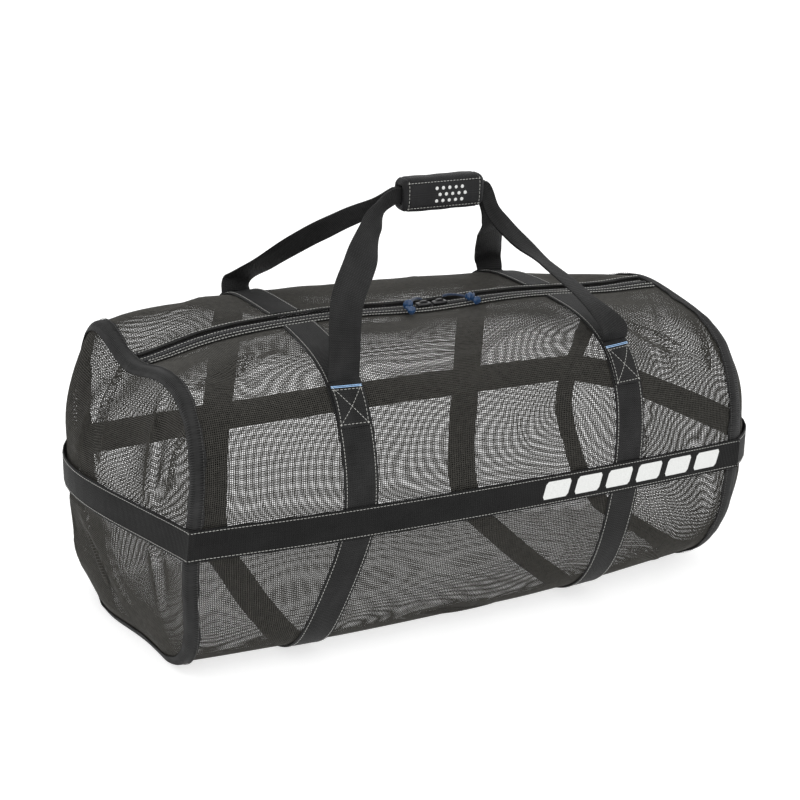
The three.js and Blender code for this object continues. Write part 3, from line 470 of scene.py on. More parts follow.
def make_materials(colours):
    """All finishes of the bag, once."""
    if MATERIALS:
        return MATERIALS
    # Name, dark and light colour, cords across and picks along in mm, relief in mm, roughness and sheen
    cloths = {
        # Black polypropylene webbing: flat woven cords and picks, a dry surface with greyish worn patches
        "webbing": (
            "woven_black_polypropylene_webbing", colours.webbing, "#272727", 3.0, 2.6, 0.45, 0.6, 0.02),
        # The same webbing on the band, shown blacker in the photo: this copy is the webbing's own black
        # darkened further as painted shade
        "band": ("woven_black_band_webbing_with_painted_shade", "#060606", "#161616", 3.0, 2.6, 0.45, 0.6, 0.01),
        # Black grosgrain binding tape: ribs straight across the tape
        "binding": ("black_grosgrain_binding_tape", "#0a0a0a", "#333333", 9.0, 2.8, 0.8, 0.7, 0.02),
        # Zipper tape: tight fine polyester weave
        "zipper_tape": ("woven_polyester_zipper_tape", "#19191b", "#3c3c3e", 1.6, 1.6, 0.15, 0.75, 0.02),
        # Padded grip cloth: smooth coated polyester over foam, slightly shiny
        "grip": ("black_coated_polyester_over_foam", colours.grip, "#242425", 0.9, 0.9, 0.12, 0.5, 0.02),
    }
    # Name, dark and light colour, grain and relief in mm, roughness, specular, coat and sheen
    speckled = {
        # Black polyester net thread: spun filament, dull with a faint sheen, greyer where the light rakes it
        "net_thread": ("black_polyester_net_thread", colours.net, "#4c4a45", 6, 0.05, 0.6, 0.22, 0.0, 0.03),
        # Nylon coil: smooth extruded filament with a soft shine
        "coil": ("black_nylon_zipper_coil", "#1d1d1e", "#3c3c3d", 2, 0.03, 0.35, 0.5),
        # Painted zinc slider: die cast, thin black paint with small pits
        "slider": ("black_painted_zinc", "#101011", "#1d1d1f", 1.5, 0.05, 0.32, 0.5, 0.3),
        # Braided polyester cord of the pulls
        "cord": ("dark_braided_polyester_cord", "#0f1520", "#263a58", 0.9, 0.25, 0.7, 0.3, 0.0, 0.3),
        # Soft moulded PVC of the pull ends: satin, dark blue
        "pull": ("moulded_blue_pvc", colours.pull, "#24507f", 5, 0.06, 0.3, 0.6),
        # Polyester sewing thread: light grey, charcoal on the end rings, and light blue on the bar tacks
        "thread": (
            "grey_polyester_sewing_thread", colours.thread, "#c6c6c1", 1.2, 0.08, 0.55, 0.4, 0.0, 0.3),
        "dull_thread": (
            "charcoal_polyester_sewing_thread", "#2a2a29", "#4a4a48", 1.2, 0.08, 0.6, 0.3, 0.0, 0.1),
        "tack": (
            "light_blue_polyester_sewing_thread", colours.tack, "#a9cdf2", 1.2, 0.08, 0.5, 0.4, 0.0, 0.3),
        # Reflective print: pale grey glass beads in ink, a fine even grain
        "print": ("pale_grey_reflective_print", "#b9bab8", "#dcdddb", 1.4, 0.06, 0.4, 0.6),
    }
    for key, look in cloths.items():
        MATERIALS[key] = cloth_material(*look)
    for key, look in speckled.items():
        MATERIALS[key] = speckled_material(*look)
    return MATERIALS


def finish_piece(obj, nodes=()):
    """Rides the piece on the bag and hides the solids that it stands for."""
    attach(obj, "root")
    if nodes:
        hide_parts(*nodes)
    return obj


def link_mesh(name, mesh, material):
    mesh.materials.clear()
    mesh.materials.append(material)
    obj = bpy.data.objects.new(name, mesh)
    bpy.context.scene.collection.objects.link(obj)
    return obj


def pushed(points):
    """Points of the even shape where the slack cloth has them, as the solids do."""
    points = np.asarray(points, float)
    moved = points.copy()
    free = soft_step(points[..., 2] / CLEAR_OF_FLOOR)
    for along, across, up, reach, by_x, by_y, by_z in PUSH_ROWS:
        off = points - np.array([along * LENGTH, across * WIDTH, up * HEIGHT])
        part = HEIGHT * np.exp(-np.sum(off**2, axis=-1) / (reach * HEIGHT) ** 2)
        moved += np.stack([by_x * part, by_y * part, by_z * part * free], axis=-1)
    return moved


def place(points):
    """Points in the bag's own millimetres as metres in the frame."""
    return (pushed(points) + SHIFT) * MM


def tube_mesh(name, grid, u, v, closed=False):
    """A closed bar through rows of loops, with a UV map in metres; closed joins last row to first."""
    rows, size = grid.shape[:2]
    points = place(grid.reshape(-1, 3))
    span = rows if closed else rows - 1
    i, k = np.meshgrid(np.arange(span), np.arange(size), indexing="ij")
    i, k = i.ravel(), k.ravel()
    up, side = (i + 1) % rows, (k + 1) % size
    faces = np.stack([i * size + k, up * size + k, up * size + side, i * size + side], axis=1)
    u = np.append(u, 2 * u[-1] - u[-2]) * MM
    v = np.append(v, v[0]) * MM
    uv = np.stack([np.stack([u[i], v[k]], 1), np.stack([u[i + 1], v[k]], 1),
                   np.stack([u[i + 1], v[k + 1]], 1), np.stack([u[i], v[k + 1]], 1)], axis=1).reshape(-1, 2)
    loops = faces.tolist()
    if not closed:
        loops += [list(range(size)), [(rows - 1) * size + j for j in reversed(range(size))]]
        flat = np.stack([np.zeros(size), v[:size]], 1)
        uv = np.concatenate([uv, flat, flat[::-1] + [u[-1], 0]])
    mesh = bpy.data.meshes.new(name)
    mesh.from_pydata(points.tolist(), [], loops)
    layer = mesh.uv_layers.new(name="cloth")
    layer.data.foreach_set("uv", uv.astype(np.float32).ravel())
    work = bmesh.new()
    work.from_mesh(mesh)
    bmesh.ops.recalc_face_normals(work, faces=work.faces)
    work.to_mesh(mesh)
    work.free()
    mesh.shade_smooth()
    mesh.set_sharp_from_angle(angle=math.radians(50))
    return mesh


def plain_copy(obj):
    """Turns the object's modifiers into plain mesh."""
    depsgraph = bpy.context.evaluated_depsgraph_get()
    made = obj.evaluated_get(depsgraph)
    mesh = bpy.data.meshes.new_from_object(made, preserve_all_data_layers=True, depsgraph=depsgraph)
    obj.modifiers.clear()
    old = obj.data
    obj.data = mesh
    bpy.data.meshes.remove(old)
    return obj


def smoothed(obj):
    modifier = obj.modifiers.new("Rounded", "SUBSURF")
    modifier.levels = modifier.render_levels = 1
    return plain_copy(obj)


def lengths(line):
    """Distance covered along a line of points."""
    return np.concatenate([[0], np.cumsum(np.linalg.norm(np.diff(line, axis=0), axis=1))])


# Cross-section of flat webbing with round selvedges: share of the width and share of the thickness
WEBBING_LOOP = np.array([
    (-0.5, 0.5), (-0.492, 0.82), (-0.47, 1), (-0.3, 1), (-0.1, 1), (0.1, 1), (0.3, 1), (0.47, 1),
    (0.492, 0.82), (0.5, 0.5), (0.492, 0.18), (0.47, 0), (0.3, 0), (0.1, 0), (-0.1, 0), (-0.3, 0),
    (-0.47, 0), (-0.492, 0.18),
])


def lines_object(name, lines):
    """An object that holds lines of points as loose edges, each with its own length."""
    points, edges = [], []
    count = 0
    for line in lines:
        points.append(place(line))
        ends = np.arange(count, count + len(line) - 1)
        edges.append(np.stack([ends, ends + 1], 1))
        count += len(line)
    mesh = bpy.data.meshes.new(name)
    points, edges = np.concatenate(points), np.concatenate(edges)
    mesh.vertices.add(len(points))
    mesh.vertices.foreach_set("co", points.astype(np.float32).ravel())
    mesh.edges.add(len(edges))
    mesh.edges.foreach_set("vertices", edges.astype(np.int32).ravel())
    mesh.update()
    obj = bpy.data.objects.new(name, mesh)
    bpy.context.scene.collection.objects.link(obj)
    return obj


def grow_tree(obj, tree, values):
    """Runs a tree on an object with its named inputs, and leaves plain mesh."""
    modifier = obj.modifiers.new("Made", "NODES")
    modifier.node_group = tree
    for item in tree.interface.items_tree:
        if item.item_type == "SOCKET" and item.in_out == "INPUT" and item.name in values:
            modifier[item.identifier] = values[item.name]
    bpy.context.view_layer.update()
    return plain_copy(obj)


def new_tree(name, inputs):
    """A geometry tree with a mesh in, a mesh out and named number and material inputs."""
    tree = bpy.data.node_groups.new(name, "GeometryNodeTree")
    tree.interface.new_socket("Geometry", in_out="INPUT", socket_type="NodeSocketGeometry")
    for label, kind in inputs:
        tree.interface.new_socket(label, in_out="INPUT", socket_type=kind)
    tree.interface.new_socket("Geometry", in_out="OUTPUT", socket_type="NodeSocketGeometry")
    return tree, add_node(tree, "NodeGroupInput"), add_node(tree, "NodeGroupOutput")


def close_tree(tree, source, out, geometry):
    """Makes instances real, gives them the tree's material and puts them out."""
    real = add_node(tree, "GeometryNodeRealizeInstances", links={"Geometry": geometry})
    painted = add_node(tree, "GeometryNodeSetMaterial",
                       links={"Geometry": real.outputs["Geometry"], "Material": source.outputs["Material"]})
    tree.links.new(painted.outputs["Geometry"], out.inputs["Geometry"])
    return tree


def spread_tree(tree, source, out, axis, instance, scale=None):
    """Puts an instance at each pitch along every line, with its axis along the line."""
    curves = add_node(tree, "GeometryNodeMeshToCurve", links={"Mesh": source.outputs["Geometry"]})
    dots = add_node(tree, "GeometryNodeCurveToPoints", {"mode": "LENGTH"},
                    links={"Curve": curves.outputs["Curve"], "Length": source.outputs["Pitch"]})
    turned = add_node(tree, "FunctionNodeAlignRotationToVector", {"axis": axis},
                      links={"Vector": dots.outputs["Tangent"]})
    links = {"Points": dots.outputs["Points"], "Instance": instance, "Rotation": turned.outputs["Rotation"]}
    if scale:
        links["Scale"] = scale
    spread = add_node(tree, "GeometryNodeInstanceOnPoints", links=links)
    return close_tree(tree, source, out, spread.outputs["Instances"])


def thread_tree():
    """Round threads along every line."""
    tree, source, out = new_tree("Threads along lines", [
        ("Radius", "NodeSocketFloat"), ("Sides", "NodeSocketInt"), ("Material", "NodeSocketMaterial")])
    curves = add_node(tree, "GeometryNodeMeshToCurve", links={"Mesh": source.outputs["Geometry"]})
    ring = add_node(tree, "GeometryNodeCurvePrimitiveCircle",
                    links={"Resolution": source.outputs["Sides"], "Radius": source.outputs["Radius"]})
    bars = add_node(tree, "GeometryNodeCurveToMesh", values={"Fill Caps": True},
                    links={"Curve": curves.outputs["Curve"], "Profile Curve": ring.outputs["Curve"]})
    return close_tree(tree, source, out, bars.outputs["Mesh"])


def stitch_tree():
    """Separate stitches along every line, each a long bead turned along the line."""
    tree, source, out = new_tree("Stitches along lines", [
        ("Pitch", "NodeSocketFloat"), ("Stitch Length", "NodeSocketFloat"),
        ("Thread Radius", "NodeSocketFloat"), ("Material", "NodeSocketMaterial")])
    bead = add_node(tree, "GeometryNodeMeshUVSphere", values={"Segments": 6, "Rings": 4, "Radius": 1.0})
    half = combine(tree, "MULTIPLY", source.outputs["Stitch Length"], 0.5)
    size = add_node(tree, "ShaderNodeCombineXYZ", links={
        "X": source.outputs["Thread Radius"], "Y": source.outputs["Thread Radius"], "Z": half})
    return spread_tree(tree, source, out, "Z", bead.outputs["Mesh"], size.outputs["Vector"])


def tooth_tree():
    """Zipper teeth along every line: a rounded bar across the line at each step."""
    tree, source, out = new_tree("Teeth along a line", [
        ("Pitch", "NodeSocketFloat"), ("Size", "NodeSocketVector"), ("Material", "NodeSocketMaterial")])
    bar = add_node(tree, "GeometryNodeMeshCube", links={"Size": source.outputs["Size"]})
    soft = add_node(tree, "GeometryNodeSubdivisionSurface", values={"Level": 1},
                    links={"Mesh": bar.outputs["Mesh"]})
    return spread_tree(tree, source, out, "X", soft.outputs["Mesh"])


def arc_turns(along, shares):
    """Turns at even shares of the cloth's own length, from edge to edge of the zipper opening."""
    along = np.atleast_1d(np.asarray(along, float))
    front = turn_on_top(along, SLOT_Y - SLOT_W / 2 - 2)
    back = 2 * math.pi + turn_on_top(along, SLOT_Y + SLOT_W / 2 + 2)
    fine = np.linspace(0, 1, 721)
    turns = front[:, None] + (back - front)[:, None] * fine
    y, z = outline_at(along[:, None], turns)
    steps = np.hypot(np.diff(y, axis=1), np.diff(z, axis=1))
    run = np.concatenate([np.zeros((len(along), 1)), np.cumsum(steps, axis=1)], axis=1)
    run = run / run[:, -1:]
    return np.stack([np.interp(shares, run[i], turns[i]) for i in range(len(along))])


def net_point(along, turn):
    return skin(along, turn, slack_at(along, turn) - NET_T / 2)


def fold_lines(surface, p0, p1, half, height):
    """Lines of a second layer of net from p0 to p1: surface places flat points at a height."""
    p0, ahead = np.array(p0, float), np.array(p1, float) - np.array(p0, float)
    size = np.linalg.norm(ahead)
    aside = np.array([-ahead[1], ahead[0]]) / size

    def at(t, share):
        taper = np.sqrt(np.sin(np.clip(t, 0.02, 0.98) * math.pi))
        flat = p0 + ahead * t[:, None] + aside * (share * half * taper + 3 * np.sin(t * 6 + size))[:, None]
        return surface(flat, height * taper * np.sqrt(1 - 0.9 * share**2))

    along, across = np.linspace(0, 1, max(4, round(size / 8))), np.linspace(-1, 1, 5)
    shares = np.linspace(-1, 1, round(2 * half / FOLD_PITCH) + 1)
    stops = np.linspace(0.03, 0.97, round(size / FOLD_PITCH))
    lines = [at(along, np.full_like(along, share)) for share in shares]
    return lines + [at(np.full_like(across, t), across) for t in stops]


def body_folds(start, stop, part):
    """Lines of the doubled net in one panel of the body: the rows' turns are under 180 in front."""
    def surface(flat, lift):
        along, turn = flat[:, 0] / LENGTH, flat[:, 1] / MEAN_RADIUS
        return skin(along, turn, slack_at(along, turn) - NET_T / 2 + lift)

    lines = []
    for a0, t0, a1, t1, half, height in FOLD_ROWS:
        if start <= (a0 + a1) / 2 < stop and part == ("front" if t0 < 180 else "back"):
            lines += fold_lines(surface, flat_spot(a0, t0), flat_spot(a1, t1), half, height)
    return lines


def end_folds(end):
    """Lines of the doubled net on one end panel."""
    def surface(flat, lift):
        turn, share = end_polar(end, flat[:, 0], flat[:, 1])
        return end_skin(end, turn, np.minimum(share, END_NET_EDGE), lift - NET_T / 2)

    lines = []
    for which, p0, p1, half, height in END_FOLD_ROWS:
        if which == end:
            lines += fold_lines(surface, p0, p1, half, height)
    return lines


def strap_loop(name, shares):
    """Rows of webbing loops round the bag."""
    rows = []
    for across, up in WEBBING_LOOP:
        along = strap_along(name, shares) + across * STRAP_W / LENGTH
        rows.append(skin(along, turn_round(along, shares), GAP + WEBBING_T * up))
    return np.stack(rows, axis=1)


def strap_line(name, shares, across, out):
    along = strap_along(name, shares) + across / LENGTH
    return skin(along, turn_round(along, shares), out)


def band_line(share, out):
    """One line of the band round the whole bag, at a share of its width."""
    line = []

    def level(corner):
        return BAND_Z + share * BAND_W - HEIGHT * blend(BAND_DROP, "corner", "drop", corner)

    ends = np.sin(np.linspace(1, -1, 25) * math.pi / 2)
    for side, start, stop, corner in ((-1, -0.5, 0.5, 0), (1, 0.5, -0.5, 2)):
        t = np.linspace(0, 1, 65)
        along, z = start + (stop - start) * t, level(corner + t)
        points = skin(along, turn_on_side(along, z, side), out)
        points[:, 2] = z
        line.append(points)
        end = int(np.sign(stop))
        shoulders = []
        for where, way in ((corner + 1, side), (corner + 2, -side)):
            z = level(where)
            point = skin(stop, turn_on_side(stop, z, way), out).reshape(3)
            point[0], point[2] = end * (LENGTH / 2 + GAP + NET_T + out), float(z)
            shoulders.append(point[None])
        z = level(corner + 1 + (1 - ends) / 2)
        y = outline_at(stop, turn_on_side(stop, z, side))[0] * ends
        turn, reach = end_polar(end, y, z)
        points = end_skin(end, turn, np.minimum(1, reach), out)
        points[:, 2] = z
        line += [shoulders[0], points, shoulders[1]]
    return np.concatenate(line)


def catmull(points, t):
    """A point on the smooth line through points, as the solids' own legs have it."""
    last = len(points) - 1
    p = last * t
    i = min(int(math.floor(p)), last - 1)
    w = p - i
    p1, p2 = points[i], points[i + 1]
    p0 = points[i - 1] if i > 0 else 2 * points[0] - points[1]
    p3 = points[i + 2] if i + 2 <= last else 2 * points[last] - points[last - 1]
    d0, d1, d2 = (max(np.sum((b - a) ** 2) ** 0.25, 1e-4) for a, b in ((p0, p1), (p1, p2), (p2, p3)))
    t1 = ((p1 - p0) / d0 - (p2 - p0) / (d0 + d1) + (p2 - p1) / d1) * d1
    t2 = ((p2 - p1) / d1 - (p3 - p1) / (d1 + d2) + (p3 - p2) / d2) * d1
    return p1 + t1 * w + (-3 * p1 + 3 * p2 - 2 * t1 - t2) * w**2 + (2 * p1 - 2 * p2 + t1 + t2) * w**3


def unit(vector):
    return vector / np.linalg.norm(vector)


def handle_rows(side):
    """Centres, directions across and outwards, widths and thicknesses of one handle's rows."""
    stack_y = side * (WEBBING_T / FOLD + GAP + GRIP_EASE) / 2

    def sewn(name, z):
        strap = float(strap_along(name, HANDLE_AT[side]))
        along = strap + np.array([-0.5, 0, 0.5]) * HANDLE_W / LENGTH
        turn = turn_on_side(along, z, side)
        return skin(along, turn, SEAT + WEBBING_T), skin(along, turn, SEAT)

    def leg(name, end):
        table = LEG_ROWS[("front" if side < 0 else "back") + ("_left" if end < 0 else "_right")]
        start = sum(sewn(name, BOX_TOP_Z))[1] / 2
        under = sum(sewn(name, BOX_TOP_Z - 8))[1] / 2
        goal = np.array([GRIP_X + end * (GRIP_L / 2 + GRIP_LEAD), stack_y, GRIP_Z])
        places = [start + (goal - start) * np.array(row[:3]) for row in table]
        mouth = np.array([GRIP_X + end * GRIP_L / 2, stack_y, GRIP_Z])
        inside = np.array([GRIP_X + end * GRIP_L / 4, stack_y, GRIP_Z])
        path = [under, start, *places, goal, mouth, inside]
        out = []
        steps = 56
        for k in range(1, steps + 1):
            key = 1 + (len(places) + 1) * k / steps
            t = key / (len(path) - 1)
            ahead = unit(catmull(path, t + 1e-4) - catmull(path, t - 1e-4))
            spot = min(key - 1, len(table))
            low = int(spot)

            def column(i, first):
                a = first if low == 0 else table[low - 1][i]
                b = table[min(low, len(table) - 1)][i]
                return a + (b - a) * soft_step(spot - low)

            wide = np.array([-end * column(4, 1), -side * column(5, 0), column(6, 0)])
            wide = unit(wide - wide.dot(ahead) * ahead)
            width = column(3, 1)
            face = unit(np.cross(ahead, wide)) * -side * end
            thick = WEBBING_T * min(1 / width, 1 / FOLD)
            out.append((catmull(path, t), wide, face, HANDLE_W * width, thick))
        return out

    def box(name, flip):
        out = []
        for z in np.linspace(BOX_LOW_Z, BOX_TOP_Z, 13):
            high, low = sewn(name, z)
            wide = unit(high[2] - high[0]) * (-1 if flip else 1)
            face = unit(high[1] - low[1])
            out.append(((high[1] + low[1]) / 2, wide, face, HANDLE_W, WEBBING_T))
        return out

    left = box("strap_left", False) + leg("strap_left", -1)
    right = box("strap_right", True) + leg("strap_right", 1)
    return left + right[::-1]


def inputs(context):
    return context.scene.bag_sizes, context.scene.bag_colours


class BagSizes(bpy.types.PropertyGroup):
    """Sizes that repeat all over the bag."""
    net_pitch: bpy.props.FloatProperty(
        name="Net pitch", description="Distance between two threads of the net",
        default=2.5 * MM, unit="LENGTH")
    net_thread: bpy.props.FloatProperty(
        name="Net thread", description="Radius of a thread of the body's net",
        default=0.5 * MM, unit="LENGTH")
    end_thread: bpy.props.FloatProperty(
        name="End thread", description="Radius of a thread of the end nets",
        default=0.56 * MM, unit="LENGTH")
    net_sides: bpy.props.IntProperty(
        name="Thread sides", description="Faces round a thread of the net", default=3, min=3, max=6)
    stitch_pitch: bpy.props.FloatProperty(
        name="Stitch pitch", description="Distance between two stitches",
        default=4.4 * MM, unit="LENGTH")
    stitch_length: bpy.props.FloatProperty(
        name="Stitch length", description="Length of a stitch",
        default=3.7 * MM, unit="LENGTH")
    stitch_thread: bpy.props.FloatProperty(
        name="Sewing thread", description="Radius of the sewing thread",
        default=0.42 * MM, unit="LENGTH")
    tooth_pitch: bpy.props.FloatProperty(
        name="Tooth pitch", description="Distance between two teeth of the zipper",
        default=3.4 * MM, unit="LENGTH")


class BagColours(bpy.types.PropertyGroup):
    """Colours that a user would change, as sRGB hex."""
    net: bpy.props.StringProperty(name="Net", description="Thread of the net", default="#242320")
    # The band does not take this colour: it has its own blacker copy of the webbing, darkened as painted
    # shade
    webbing: bpy.props.StringProperty(
        name="Webbing", description="Straps, band and handles", default="#0f0f0f")
    grip: bpy.props.StringProperty(name="Grip", description="Cloth of the padded grip", default="#101011")
    thread: bpy.props.StringProperty(name="Sewing thread", description="Stitches", default="#9c9c97")
    tack: bpy.props.StringProperty(
        name="Bar tacks", description="Thread of the bar tacks", default="#86b0e0")
    pull: bpy.props.StringProperty(
        name="Pulls", description="Moulded ends of the zipper pulls", default="#0b1c33")


class BAG_OT_net(bpy.types.Operator):
    """Knits the body's net out of its threads, in twelve panels, and both end panels"""
    bl_idname = "bag.net"
    bl_label = "Net"

    def execute(self, context):
        sizes, colours = inputs(context)
        material = make_materials(colours)["net_thread"]
        tree = thread_tree()
        values = {"Radius": sizes.net_thread, "Sides": sizes.net_sides, "Material": material}
        pitch = sizes.net_pitch / MM
        count = round(CLOTH_ROUND / pitch)
        shares = (np.arange(count) + 0.5) / count
        edges = np.linspace(-0.5, 0.5, 5)
        for panel, start, stop in zip(("left", "mid_left", "mid_right", "right"), edges[:-1], edges[1:]):
            wide = (stop - start) * LENGTH
            across = round(wide / pitch)
            hoops = start + (np.arange(across) + 0.5) * (stop - start) / across
            stations = np.linspace(start, stop, round(wide / LINE_STEP) + 1)
            for part, low, high, thin in NET_PARTS:
                tall = CLOTH_ROUND * (high - low)
                own = shares[(shares >= low) & (shares < high)]
                long_points = net_point(stations[:, None], arc_turns(stations, own))
                fine = np.linspace(low, high, round(tall / HOOP_STEP))
                hoop_points = net_point(hoops[:, None], arc_turns(hoops, fine))
                lines = [long_points[:, i] for i in range(len(own))] + list(hoop_points)
                lines += body_folds(start, stop, part)
                values["Radius"] = sizes.net_thread * thin
                obj = grow_tree(lines_object("net_%s_%s" % (part, panel), lines), tree, values)
                finish_piece(obj, ("mesh_body",))
        values["Radius"] = sizes.end_thread
        for end, word in ((-1, "left"), (1, "right")):
            name, node = "net_end_" + word, "end_panel_" + word
            half_w, half_h = (float(v) for v in section_at(end / 2)[:2])
            lines = self.end_lines(end, half_w, half_h, pitch) + end_folds(end)
            obj = grow_tree(lines_object(name, lines), tree, values)
            finish_piece(obj, (node,))
            rim = np.stack(outline_at(end / 2, np.linspace(0, 2 * math.pi, 361)[:-1]), 1) * MM
        return {"FINISHED"}

    def end_lines(self, end, half_w, half_h, pitch):
        """Level and upright threads of one end net, each as long as the panel is there."""
        middle = BASE_Z + half_h - SETTLE
        lines = []
        for level, far in ((True, half_h), (False, half_w)):
            offsets = np.arange(-far + pitch, far, pitch)

            def across(t, offset):
                return (t, middle + offset) if level else (offset, middle + t)

            limits = []
            for way in (-1, 1):
                low, high = np.zeros(len(offsets)), np.full(len(offsets), 1.1 * max(half_w, half_h))
                for _ in range(36):
                    t = (low + high) / 2
                    inside = end_polar(end, *across(way * t, offsets))[1] < END_NET_EDGE
                    low, high = np.where(inside, t, low), np.where(inside, high, t)
                limits.append(way * low)
            for offset, first, last in zip(offsets, *limits):
                if last - first < 4 * pitch:
                    continue
                t = np.linspace(first, last, max(3, round((last - first) / LINE_STEP)))
                y, z = across(t, np.full_like(t, offset))
                lines.append(self.end_thread(end, y, z))
        return lines

    def end_thread(self, end, y, z):
        """One thread of an end net, with its slack and creases, flat under the band and the binding."""
        turn, share = end_polar(end, y, z)
        off = 0.9 * np.sin(y * 0.05 + z * 0.03) + 0.7 * np.sin(z * 0.07 - y * 0.02)
        for which, start, stop, half, height in END_CREASE_ROWS:
            if which == end:
                off = off + ridge(y, z, *start, *stop, half, height)
        band = soft_step((np.abs(z - BAND_Z + 3) - BAND_W / 2 - 3) / 16)
        off = np.minimum(off, 2.5) * soft_step((1 - share) * 180 / 26) * band
        return end_skin(end, turn, share, off - NET_T / 2)


class BAG_OT_straps(bpy.types.Operator):
    """Weaves the two straps round the body and the band round the whole bag"""
    bl_idname = "bag.straps"
    bl_label = "Straps and band"

    def execute(self, context):
        materials = make_materials(inputs(context)[1])
        inset = GAP / LENGTH
        shares = np.linspace(inset, 1 - inset, 200)
        for name in STRAP_ROWS:
            grid = strap_loop(name, shares)
            mesh = tube_mesh("webbing_" + name, grid, lengths(grid[:, 4]), WEBBING_LOOP[:, 0] * STRAP_W)
            finish_piece(link_mesh("webbing_" + name, mesh, materials["webbing"]), (name,))
        loops = [band_line(across, BAND_BASE + WEBBING_T * up) for across, up in WEBBING_LOOP]
        grid = np.stack(loops, axis=1)
        mesh = tube_mesh("webbing_band", grid, lengths(grid[:, 4]), WEBBING_LOOP[:, 0] * BAND_W, closed=True)
        # The band takes the blacker copy of the webbing, whose extra darkness is painted shade
        finish_piece(link_mesh("webbing_band", mesh, materials["band"]), ("band",))
        return {"FINISHED"}


class BAG_OT_bindings(bpy.types.Operator):
    """Folds the binding tape over both end seams"""
    bl_idname = "bag.bindings"
    bl_label = "End bindings"

    def execute(self, context):
        material = make_materials(inputs(context)[1])["binding"]
        for end, name in ((-1, "left"), (1, "right")):
            seam = end / 2
            side = seam - end * BINDING_W / LENGTH
            shares = np.linspace(0, 1, 241)[:-1]
            circle = shares * 2 * math.pi
            turns, side_turns = (start + circle for start in turn_on_top(np.array([seam, side]), SLOT_Y))
            wave = 0.9 * np.sin(circle * 31 + 2 * np.sin(shares * 19)) + 0.5 * np.sin(circle * 53 + 1)
            wide = 1 + 0.12 * np.sin(circle * 17 + 2) + 0.08 * np.sin(circle * 41)
            wavy = GAP + BINDING_T + wave * 0.4
            low = skin(side, side_turns, GAP)
            high = skin(side, side_turns, GAP + BINDING_T + wave * 0.5)
            low[:, 0] = high[:, 0] = seam * LENGTH - end * BINDING_W * wide
            middle_in, middle_out = skin(seam, turns, GAP), skin(seam, turns, GAP + BINDING_T)
            middle_in[:, 0] -= end * BINDING_W / 2
            middle_out[:, 0] -= end * BINDING_W / 2
            corner_in, corner_out = skin(seam, turns, GAP), skin(seam, turns, GAP + BINDING_T)
            corner_in[:, 0] = corner_out[:, 0] = end * (LENGTH / 2 + GAP + NET_T + GAP)
            shoulder = corner_in.copy()
            shoulder[:, 0] += end * BINDING_T
            reach = binding_share(end, turns)
            panel_low = end_skin(end, turns, reach, GAP)
            panel_high = end_skin(end, turns, reach, wavy)
            half_low, half_high = (end_skin(end, turns, (1 + reach) / 2, out) for out in (GAP, wavy))
            grid = np.stack([low, middle_in, corner_in, half_low, panel_low, panel_high, half_high, shoulder,
                             corner_out, middle_out, high], axis=1)
            v = np.array([-10, -5, 0, 5, 10, 10, 5, 0.7, -0.7, -5, -10.0])
            mesh = tube_mesh("binding_tape_" + name, grid, lengths(grid[:, 8]), v, closed=True)
            obj = smoothed(link_mesh("binding_tape_" + name, mesh, material))
            finish_piece(obj, ("end_binding_" + name,))
        return {"FINISHED"}


def top_grid(edges, wave=0.0):
    """Rows of a strip along the top of the bag: edges are pairs of a Y across the top and a distance out."""
    reach = 0.5 - GAP / LENGTH - BINDING_W / LENGTH
    along = np.linspace(-reach, reach, 150)
    rows = []
    for y, out in edges:
        ripple = wave * np.sin(along * LENGTH * 0.11 + y * 0.3) * (out > GAP)
        rows.append(skin(along, turn_on_top(along, y), out + ripple))
    return np.stack(rows, axis=1), along


